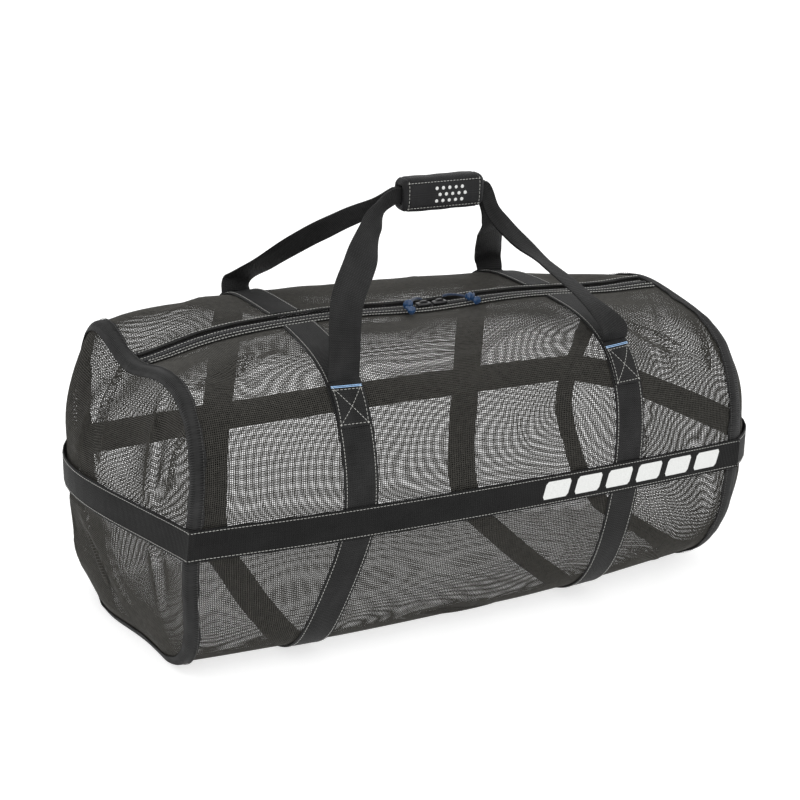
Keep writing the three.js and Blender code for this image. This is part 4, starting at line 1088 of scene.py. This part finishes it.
class BAG_OT_zipper(bpy.types.Operator):
    """Makes the hems, the zipper's tape, its teeth and both sliders"""
    bl_idname = "bag.zipper"
    bl_label = "Zipper"

    def execute(self, context):
        sizes, colours = inputs(context)
        materials = make_materials(colours)
        for side, name in ((-1, "hem_front"), (1, "hem_back")):
            edge = SLOT_Y + side * SLOT_W / 2
            ys = [edge + side * HEM_W * share for share in (0, 0.02, 0.3, 0.6, 0.93, 0.95, 0.5)]
            outs = [GAP + HEM_T * share for share in (0, 1, HEM_CREST, 0.85, 0.6, 0, 0)]
            grid, along = top_grid(list(zip(ys, outs)), wave=0.6)
            mesh = tube_mesh("tape_" + name, grid, along * LENGTH, np.array(ys))
            finish_piece(smoothed(link_mesh("tape_" + name, mesh, materials["binding"])), (name,))
        far = SLOT_W / 2 + ZIP_TAPE_LAP
        ys = np.linspace(-far, far, 11) + SLOT_Y
        edges = [(y, TAPE_TOP) for y in ys] + [(y, TAPE_TOP - ZIP_TAPE_T) for y in ys[::-1]]
        grid, along = top_grid(edges)
        mesh = tube_mesh("zipper_tape_cloth", grid, along * LENGTH, np.array([y for y, _ in edges]))
        obj = link_mesh("zipper_tape_cloth", mesh, materials["zipper_tape"])
        finish_piece(obj, ("zipper_tape",))

        lines = []
        along = np.linspace(-0.5, 0.5, 400) * (LENGTH - 2 * BINDING_W - 2)
        for row, offset in ((-1, 0.0), (1, sizes.tooth_pitch / MM / 2)):
            x = along[:-2] + offset
            y = SLOT_Y + row * COIL_W * 0.21
            lines.append(skin(x / LENGTH, turn_on_top(x / LENGTH, y), COIL_BASE + COIL_H * 0.5))
        teeth = lines_object("zipper_teeth", lines)
        tooth = (2.2 * MM, COIL_W * 0.62 * MM, COIL_H * 0.95 * MM)
        grow_tree(teeth, tooth_tree(), {
            "Pitch": sizes.tooth_pitch, "Size": tooth, "Material": materials["coil"]})
        teeth.data.shade_smooth()
        finish_piece(teeth, ("zipper_coil",))

        for way, name in ((-1, "left"), (1, "right")):
            self.slider(way, name, materials["slider"])
        return {"FINISHED"}

    def slider(self, way, name, material):
        """One slider: a shell that tapers to its nose, with a raised bridge for the pull."""
        base = COIL_BASE + COIL_H + 0.3
        work = bmesh.new()

        def loops(stations, profile):
            rows = []
            for share, width, height in stations:
                x = SLIDER_MEET_X + way * (SLIDER_APART / 2 + share * SLIDER_L)
                foot = skin(x / LENGTH, turn_on_top(x / LENGTH, SLOT_Y), base).reshape(3)
                half, tall = SLIDER_W / 2 * width, SLIDER_H * height
                spots = [foot + np.array([0, a * half, u * tall]) for a, u in profile]
                rows.append([work.verts.new(Vector(place(spot))) for spot in spots])
            for first, second in zip(rows, rows[1:]):
                for k in range(len(profile)):
                    j = (k + 1) % len(profile)
                    work.faces.new((first[k], second[k], second[j], first[j]))
            work.faces.new(rows[0])
            work.faces.new(rows[-1][::-1])

        shell = [(-1, 0), (-1, 0.35), (-0.8, 0.55), (0.8, 0.55), (1, 0.35), (1, 0)]
        loops([(0, 0.62, 0.8), (0.15, 0.8, 1), (0.45, 1, 1), (0.9, 0.96, 1), (1, 0.85, 0.8)], shell)
        bridge = [(-0.28, 0.5), (-0.28, 1), (0.28, 1), (0.28, 0.5)]
        loops([(0.22, 1, 0.75), (0.34, 1, 1), (0.66, 1, 1), (0.78, 1, 0.75)], bridge)
        bmesh.ops.recalc_face_normals(work, faces=work.faces)
        mesh = bpy.data.meshes.new("slider_shell_" + name)
        work.to_mesh(mesh)
        work.free()
        obj = link_mesh("slider_shell_" + name, mesh, material)
        bevel = obj.modifiers.new("Edges", "BEVEL")
        bevel.width, bevel.segments, bevel.limit_method = 0.6 * MM, 3, "ANGLE"
        plain_copy(obj)
        obj.data.shade_smooth()
        finish_piece(obj, ("slider_" + name,))


# The pulls' way from the slider over the front hem, in shares of PULL_L, as in the solids
PULL_ROWS = {
    "to_x": (0.1, 0.3, 0.55, 0.66, 0.74, 0.84, 0.9),
    "to_y": (0, -0.04, -0.22, -0.34, -0.42, -0.52, -0.58),
    "up": (0, 0.04, 0.05, 0.04, 0.04, 0.03, 0.03),
}
# Share of the way and radius in shares of PULL_R: one cord of the doubled pull, its moulded end, and the
# tail that goes on from it over the front hem
CORD_RADII = ((0, 0.55), (0.05, 0.62), (0.5, 0.62), (1, 0.6))
END_RADII = (
    (0, 0.9), (0.08, 1.9), (0.18, 1.3), (0.3, 2.5), (0.46, 2.9), (0.6, 2.2), (0.75, 2.8), (0.9, 2.5),
    (1, 0.9),
)
TAIL_RADII = ((0, 1.3), (0.3, 1.5), (0.45, 1.2), (0.62, 2.3), (0.85, 2.5), (1, 1.0))
# How far the left and the right tail reach to the front, in mm
TAIL_REACH = {-1: 16, 1: 8}


def swept(name, path, start, stop, radii, aside_by=0.0, ribs=0.0):
    """A round bar along a stretch of a smooth path, aside_by mm beside it, with fine ribs round it."""
    keys, sizes = zip(*radii)
    angles = np.arange(16) * math.pi / 8
    grid = []
    for t in np.linspace(0, 1, 40):
        at = start + (stop - start) * t
        ahead = unit(catmull(path, min(1, at + 1e-3)) - catmull(path, max(0, at - 1e-3)))
        aside = unit(np.cross([0, 0, 1.0], ahead))
        above = np.cross(ahead, aside)
        radius = PULL_R * np.interp(t, keys, sizes) * (1 + ribs * math.cos(t * 60))
        ring = np.cos(angles)[:, None] * aside + np.sin(angles)[:, None] * above
        grid.append(catmull(path, at) + aside_by * aside + radius * ring)
    grid = np.stack(grid)
    return tube_mesh(name, grid, lengths(grid[:, 0]), angles * PULL_R)


class BAG_OT_pulls(bpy.types.Operator):
    """Makes the doubled cord pulls with their moulded ends"""
    bl_idname = "bag.pulls"
    bl_label = "Zipper pulls"

    def execute(self, context):
        materials = make_materials(inputs(context)[1])
        for way, name in ((-1, "left"), (1, "right")):
            x = SLIDER_MEET_X + way * (SLIDER_APART / 2 + SLIDER_L * 0.5)
            top = COIL_BASE + COIL_H + GAP + SLIDER_H + GAP + PULL_R
            start = skin(x / LENGTH, turn_on_top(x / LENGTH, SLOT_Y), top).reshape(3)
            path = [start + PULL_L * np.array([way * a, b, c])
                    for a, b, c in zip(PULL_ROWS["to_x"], PULL_ROWS["to_y"], PULL_ROWS["up"])]
            for part, aside_by in (("near", -0.55 * PULL_R), ("far", 0.55 * PULL_R)):
                label = "pull_cord_%s_%s" % (part, name)
                mesh = swept(label, path, 0.0, 0.66, CORD_RADII, aside_by, 0.04)
                finish_piece(link_mesh(label, mesh, materials["cord"]), ("pull_" + name,))
            label = "pull_end_" + name
            mesh = swept(label, path, 0.56, 1.0, END_RADII, 0.0, 0.04)
            finish_piece(link_mesh(label, mesh, materials["pull"]), ("pull_" + name,))
            foot = path[-1]
            over = GAP + HEM_T * HEM_CREST + 2.6 * PULL_R
            tail = [skin(foot[0] / LENGTH, turn_on_top(foot[0] / LENGTH, y), over).reshape(3)
                    for y in foot[1] - np.linspace(0, TAIL_REACH[way], 5)]
            label = "pull_tail_" + name
            mesh = swept(label, tail, 0.0, 1.0, TAIL_RADII, 0.0, 0.03)
            finish_piece(link_mesh(label, mesh, materials["pull"]), ("pull_" + name,))
        return {"FINISHED"}


class BAG_OT_handles(bpy.types.Operator):
    """Makes both webbing handles, folded where they go into the grip"""
    bl_idname = "bag.handles"
    bl_label = "Handles"

    def execute(self, context):
        material = make_materials(inputs(context)[1])["webbing"]
        for side, name in ((-1, "front"), (1, "back")):
            grid = []
            for centre, wide, face, width, thick in handle_rows(side):
                folded = soft_step((1 - width / HANDLE_W) / (1 - FOLD))
                loop = []
                for across, up in WEBBING_LOOP:
                    groove = 1 - 0.35 * folded * max(0, (across - 0.3) / 0.2) if 0.1 < up < 0.9 else 1
                    loop.append(centre + wide * across * width * groove + face * (up - 0.5) * thick)
                grid.append(loop)
            grid = np.array(grid)
            label = "webbing_handle_" + name
            mesh = tube_mesh(label, grid, lengths(grid[:, 4]), WEBBING_LOOP[:, 0] * HANDLE_W)
            finish_piece(link_mesh(label, mesh, material), ("handle_" + name,))
        return {"FINISHED"}


def squared(angle, half_y, half_z, square):
    """Y and Z round a rectangle with rounded corners."""
    c, s = np.cos(angle), np.sin(angle)
    return half_y * np.sign(c) * np.abs(c) ** (2 / square), half_z * np.sign(s) * np.abs(s) ** (2 / square)


def grip_surface(t, angle, out):
    """Points out of the grip's outer face at shares of its length and angles round it."""
    edge = np.abs(2 * t - 1)
    size = 1 - 0.2 * (np.maximum(0, edge - 0.84) / 0.16) ** 2.4
    y, z = (half * size for half in squared(angle, GRIP_D / 2, GRIP_H / 2, GRIP_SQUARE))
    grow = 1 + out / np.hypot(y, z)
    return np.stack([GRIP_X + (t - 0.5) * GRIP_L + 0 * y, y * grow, GRIP_Z + z * grow], axis=-1)


def grip_face(height):
    """How far the grip's flat faces stand from its middle, at shares of its half height."""
    return GRIP_D / 2 * (1 - np.abs(height) ** GRIP_SQUARE) ** (1 / GRIP_SQUARE)


class BAG_OT_grip(bpy.types.Operator):
    """Makes the padded grip, with its sewn channel"""
    bl_idname = "bag.grip"
    bl_label = "Padded grip"

    def execute(self, context):
        materials = make_materials(inputs(context)[1])
        first, last = np.linspace(0, 0.1, 16)[:-1], np.linspace(0.9, 1, 16)[1:]
        t = np.concatenate([first, np.linspace(0.1, 0.9, 60), last])
        angle = np.arange(96) * 2 * math.pi / 96
        tt, aa = np.meshgrid(t, angle, indexing="ij")
        height = np.abs(np.sin(aa)) ** (2 / GRIP_SQUARE)
        from_end = np.minimum(tt, 1 - tt) * GRIP_L
        channel = -1.1 * np.exp(-((np.abs(from_end - BORDER) / 1.6) ** 2))
        border = -1.1 * np.exp(-(((height - GRIP_BORDER) * GRIP_H / 2 / 1.8) ** 2)) * (from_end > BORDER)
        puff = -0.4 + 0.25 * np.sin(tt * 9 + aa) + 0.2 * np.sin(tt * 23 + 2 * aa)
        outer = grip_surface(tt, aa, puff + np.minimum(channel, border))
        bore_d, bore_h = 2 * (WEBBING_T / FOLD) + GAP + 2 * GRIP_EASE, HANDLE_W * FOLD + 2 * GRIP_EASE
        y, z = squared(angle, bore_d / 2, bore_h / 2, BORE_SQUARE)
        inner = [np.stack([np.full(96, GRIP_X + (p - 0.5) * GRIP_L), y, GRIP_Z + z], axis=-1)
                 for p in (0.985, 0.75, 0.5, 0.25, 0.015)]
        lip_right = 0.5 * outer[-1] + 0.5 * inner[0] + [1.2, 0, 0]
        lip_left = 0.5 * outer[0] + 0.5 * inner[-1] - [1.2, 0, 0]
        grid = np.concatenate([outer, [lip_right], inner, [lip_left]])
        bore_u = np.linspace(GRIP_L + 14, 2 * GRIP_L, 5)
        u = np.concatenate([t * GRIP_L, [GRIP_L + 8], bore_u, [2 * GRIP_L + 8]])
        mesh = tube_mesh("padded_grip", grid, u, angle * 20, closed=True)
        obj = finish_piece(link_mesh("padded_grip", mesh, materials["grip"]), ("handle_grip",))
        return {"FINISHED"}


class BAG_OT_prints(bpy.types.Operator):
    """Puts plain reflective blocks on the band's front and plain dots on the grip"""
    bl_idname = "bag.prints"
    bl_label = "Reflective prints"

    def execute(self, context):
        materials = make_materials(inputs(context)[1])
        work = bmesh.new()
        shares = np.linspace(-0.32, 0.32, 6)
        for block in range(6):
            x = np.linspace(0, 39, 12) + 70 + block * 47
            rows = []
            for share in shares:
                along = (x + (share + 0.32) * 10) / LENGTH
                level = BAND_Z + share * BAND_W - HEIGHT * blend(BAND_DROP, "corner", "drop", along + 0.5)
                points = skin(along, turn_on_side(along, level, -1), BAND_TOP + 0.18)
                points[:, 2] = level
                # The rim goes down into the band
                points[[0, -1], 1] += PRINT_SINK
                if share in (shares[0], shares[-1]):
                    points[:, 1] += PRINT_SINK
                rows.append([work.verts.new(Vector(place(point))) for point in points])
            for low, high in zip(rows, rows[1:]):
                for j in range(len(x) - 1):
                    work.faces.new((low[j], high[j], high[j + 1], low[j + 1]))
        faces = work.faces[:]
        bmesh.ops.recalc_face_normals(work, faces=faces)
        bmesh.ops.reverse_faces(work, faces=[face for face in faces if face.normal.y > 0])
        mesh = bpy.data.meshes.new("reflective_blocks")
        work.to_mesh(mesh)
        work.free()
        mesh.shade_smooth()
        finish_piece(link_mesh("reflective_blocks", mesh, materials["print"]))

        dots = bmesh.new()
        for row in range(3):
            for column in range(5):
                x = GRIP_X + 6 + (column - 2) * 9 + (row % 2) * 4.5
                centre = np.array([x, 0, GRIP_Z + (row - 1) * 8])
                ring = []
                for radius, up in ((2.4, -0.5), (2.2, 0.35), (1.2, 0.55)):
                    angles = np.arange(16) * math.pi / 8
                    spots = np.stack([np.cos(angles), 0 * angles, np.sin(angles)], 1) * radius + centre
                    spots[:, 1] = 0.4 - up - grip_face((spots[:, 2] - GRIP_Z) / (GRIP_H / 2))
                    ring.append([dots.verts.new(Vector(place(p))) for p in spots])
                for first, second in zip(ring, ring[1:]):
                    for k in range(16):
                        dots.faces.new((first[k], first[(k + 1) % 16], second[(k + 1) % 16], second[k]))
                dots.faces.new(ring[-1])
                dots.faces.new(ring[0][::-1])
        bmesh.ops.recalc_face_normals(dots, faces=dots.faces)
        mesh = bpy.data.meshes.new("grip_dots")
        dots.to_mesh(mesh)
        dots.free()
        mesh.shade_smooth()
        finish_piece(link_mesh("grip_dots", mesh, materials["print"]))
        return {"FINISHED"}


def handle_box_lines(side, name):
    """The crossed box and the bar tack at one foot of a handle."""
    strap = float(strap_along(name, HANDLE_AT[side]))
    out = SEAT + WEBBING_T + STITCH_LIFT

    def at(across, z):
        across, z = np.broadcast_arrays(np.asarray(across, float), np.asarray(z, float))
        along = strap + across / LENGTH
        return skin(along, turn_on_side(along, z, side), out)

    far, low, high = HANDLE_W / 2 - 3, BOX_LOW_Z + 3, BOX_TOP_Z - 5
    t = np.linspace(0, 1, 14)
    across, up = -far + 2 * far * t, low + (high - low) * t
    sides = [at(across, low), at(across, high - 2), at(-far, up), at(far, up)]
    lines = sides + [at(across, up), at(-across, up)]
    tacks = [at(-far - 1 + (2 * far + 2) * t, high + d) for d in (0.0, 1.1)]
    return lines, tacks


class BAG_OT_stitching(bpy.types.Operator):
    """Sews straps, band, hems, bindings, crossed boxes, bar tacks and the grip's border"""
    bl_idname = "bag.stitching"
    bl_label = "Stitching"

    def execute(self, context):
        sizes, colours = inputs(context)
        materials = make_materials(colours)
        lines, tacks, hems, rings = [], [], [], []
        shares = np.linspace(0.004, 0.996, 260)
        for name in STRAP_ROWS:
            for across in (-STRAP_W / 2 + 3.5, STRAP_W / 2 - 3.5):
                lines.append(strap_line(name, shares, across, GAP + WEBBING_T + STITCH_LIFT))
            for side in (-1, 1):
                box, tack = handle_box_lines(side, name)
                lines += box
                tacks += tack
        for share in (-0.42, 0.42):
            line = band_line(share, BAND_TOP + STITCH_LIFT)
            lines.append(np.concatenate([line, line[:1]]))
        reach = 0.5 - BINDING_W / LENGTH - 0.006
        along = np.linspace(-reach, reach, 200)
        front, back = SLOT_Y - SLOT_W / 2, SLOT_Y + SLOT_W / 2
        on_tape = TAPE_TOP + STITCH_LIFT
        for y, out in (
            (front - HEM_W * 0.32, GAP + HEM_T * 1.38 + 0.05),
            (front - HEM_W * 0.84, GAP + HEM_T * 0.75 + 0.05),
            (back + HEM_W * 0.4, GAP + HEM_T * 1.3 + 0.05), (front + 3, on_tape), (back - 3, on_tape),
        ):
            hems.append(skin(along, turn_on_top(along, y), out))
        for end in (-1, 1):
            seam = end / 2 - end * 7.4 / LENGTH
            start = float(turn_on_top(seam, SLOT_Y))
            rings.append(skin(seam, np.linspace(start, start + 2 * math.pi, 240), GAP + BINDING_T + 0.4))
        lines += self.grip_lines()
        tree = stitch_tree()
        for name, group, radius, look in (
            ("stitching_seams", lines, 0.82, "thread"), ("stitching_hems", hems, 1.35, "thread"),
            ("stitching_rings", rings, 1.0, "dull_thread"),
        ):
            self.sew(name, group, tree, sizes.stitch_pitch, sizes.stitch_length,
                     sizes.stitch_thread * radius, materials[look])
        self.sew("bar_tacks_blue", tacks, tree, 1.3 * MM, 2.0 * MM, 0.55 * MM, materials["tack"])
        return {"FINISHED"}

    def grip_lines(self):
        """The grip's sewn border: two long lines and two upright ones on each face."""
        lines = []
        x = GRIP_X + (np.linspace(0, 1, 60) - 0.5) * (GRIP_L - 2 * BORDER)
        for up in (-1, 1):
            z = np.full_like(x, GRIP_Z + up * GRIP_BORDER * GRIP_H / 2 * 0.97)
            for way in (-1, 1):
                lines.append(np.stack([x, np.full_like(x, way * (grip_face(GRIP_BORDER) - 1.0)), z], axis=1))
        z = np.linspace(-GRIP_BORDER, GRIP_BORDER, 16) * GRIP_H / 2
        for end in (-1, 1):
            x = np.full_like(z, GRIP_X + end * (GRIP_L / 2 - BORDER))
            for way in (-1, 1):
                lines.append(np.stack([x, way * (grip_face(z / (GRIP_H / 2)) - 1.1), GRIP_Z + z], axis=1))
        return lines

    def sew(self, name, lines, tree, pitch, length, radius, material):
        """One piece of stitches along lines."""
        sewn = lines_object(name, lines)
        grow_tree(sewn, tree, {
            "Pitch": pitch, "Stitch Length": length, "Thread Radius": radius, "Material": material})
        sewn.data.shade_smooth()
        finish_piece(sewn)


# Area lights: name, place and size in metres, power in watts
LIGHTS = (
    ("key", (-1.6, -2.2, 3.0), 2.6, 22.0), ("fill", (2.6, -1.6, 1.8), 2.4, 9.0),
    ("top", (0.2, 0.6, 3.2), 2.6, 16.0), ("low", (-1.0, -2.3, 0.55), 1.8, 11.0),
)
# The camera fitted to the photo: place in mm from the end seams' middle, azimuth, elevation and roll in
# degrees, and lens in mm
CAMERA_AT, CAMERA_TURN, CAMERA_LENS = (-1134.4, -1985.4, 1048.7), (29.35, 19.33, 2.31), 84.86


class BAG_OT_stage(bpy.types.Operator):
    """Sets up the pale floor, the soft studio light and the camera"""
    bl_idname = "bag.stage"
    bl_label = "Floor, light and camera"

    def execute(self, context):
        scene = context.scene
        material, _, shader = new_material("pale_paper_floor", 0.9, 0.2)
        shader.inputs["Base Color"].default_value = linear("#cacaca")
        shader.inputs["Emission Color"].default_value = linear("#ffffff")
        shader.inputs["Emission Strength"].default_value = 0.65
        mesh = bpy.data.meshes.new("floor")
        far = 14.0
        corners = [(-far, -far, 0), (far, -far, 0), (far, far, 0), (-far, far, 0)]
        mesh.from_pydata(corners, [], [(0, 1, 2, 3)])
        link_mesh("floor", mesh, material)

        world = bpy.data.worlds.new("studio")
        world.use_nodes = True
        background = world.node_tree.nodes["Background"]
        background.inputs["Color"].default_value = (1, 1, 1, 1)
        background.inputs["Strength"].default_value = 0.95
        scene.world = world
        for name, at, size, power in LIGHTS:
            light = bpy.data.lights.new(name, "AREA")
            light.size, light.energy = size, power
            lamp = bpy.data.objects.new(name, light)
            lamp.location = at
            lamp.rotation_euler = (Vector((0, 0, 0.22)) - Vector(at)).to_track_quat("-Z", "Y").to_euler()
            scene.collection.objects.link(lamp)

        azimuth, elevation, roll = (math.radians(v) for v in CAMERA_TURN)
        level = math.cos(elevation)
        back = Vector((-math.sin(azimuth) * level, -math.cos(azimuth) * level, math.sin(elevation)))
        right = Vector((math.cos(azimuth), -math.sin(azimuth), 0))
        up = right.cross(-back)
        across = math.cos(roll) * right + math.sin(roll) * up
        above = -math.sin(roll) * right + math.cos(roll) * up
        data = bpy.data.cameras.new("camera")
        data.sensor_width, data.lens, data.clip_end = 36.0, CAMERA_LENS, 60.0
        camera = bpy.data.objects.new("camera", data)
        turned = Matrix((across, above, back)).transposed().to_4x4()
        spot = Vector((np.array(CAMERA_AT) + SHIFT) * MM)
        camera.matrix_world = Matrix.Translation(spot) @ turned
        scene.collection.objects.link(camera)
        scene.camera = camera
        scene.view_settings.view_transform = "Standard"
        return {"FINISHED"}


class BAG_PT_panel(bpy.types.Panel):
    """Lists the bag's pieces in the sidebar"""
    bl_label = "Mesh dive gear bag"
    bl_idname = "BAG_PT_panel"
    bl_space_type = "VIEW_3D"
    bl_region_type = "UI"
    bl_category = "Bag"

    def draw(self, context):
        for group in inputs(context):
            for name in group.__annotations__:
                self.layout.prop(group, name)
        for operator in OPERATORS:
            self.layout.operator(operator.bl_idname)


OPERATORS = (BAG_OT_stage, BAG_OT_net, BAG_OT_straps, BAG_OT_bindings, BAG_OT_zipper, BAG_OT_pulls,
             BAG_OT_handles, BAG_OT_grip, BAG_OT_prints, BAG_OT_stitching)
CLASSES = (BagSizes, BagColours, *OPERATORS, BAG_PT_panel)


def register():
    for cls in CLASSES:
        bpy.utils.register_class(cls)
    bpy.types.Scene.bag_sizes = bpy.props.PointerProperty(type=BagSizes)
    bpy.types.Scene.bag_colours = bpy.props.PointerProperty(type=BagColours)


def unregister():
    del bpy.types.Scene.bag_sizes
    del bpy.types.Scene.bag_colours
    for cls in reversed(CLASSES):
        bpy.utils.unregister_class(cls)


def main():
    register()
    for operator in OPERATORS:
        group, name = operator.bl_idname.split(".")
        getattr(getattr(bpy.ops, group), name)()


if __name__ == "__main__":
    main()
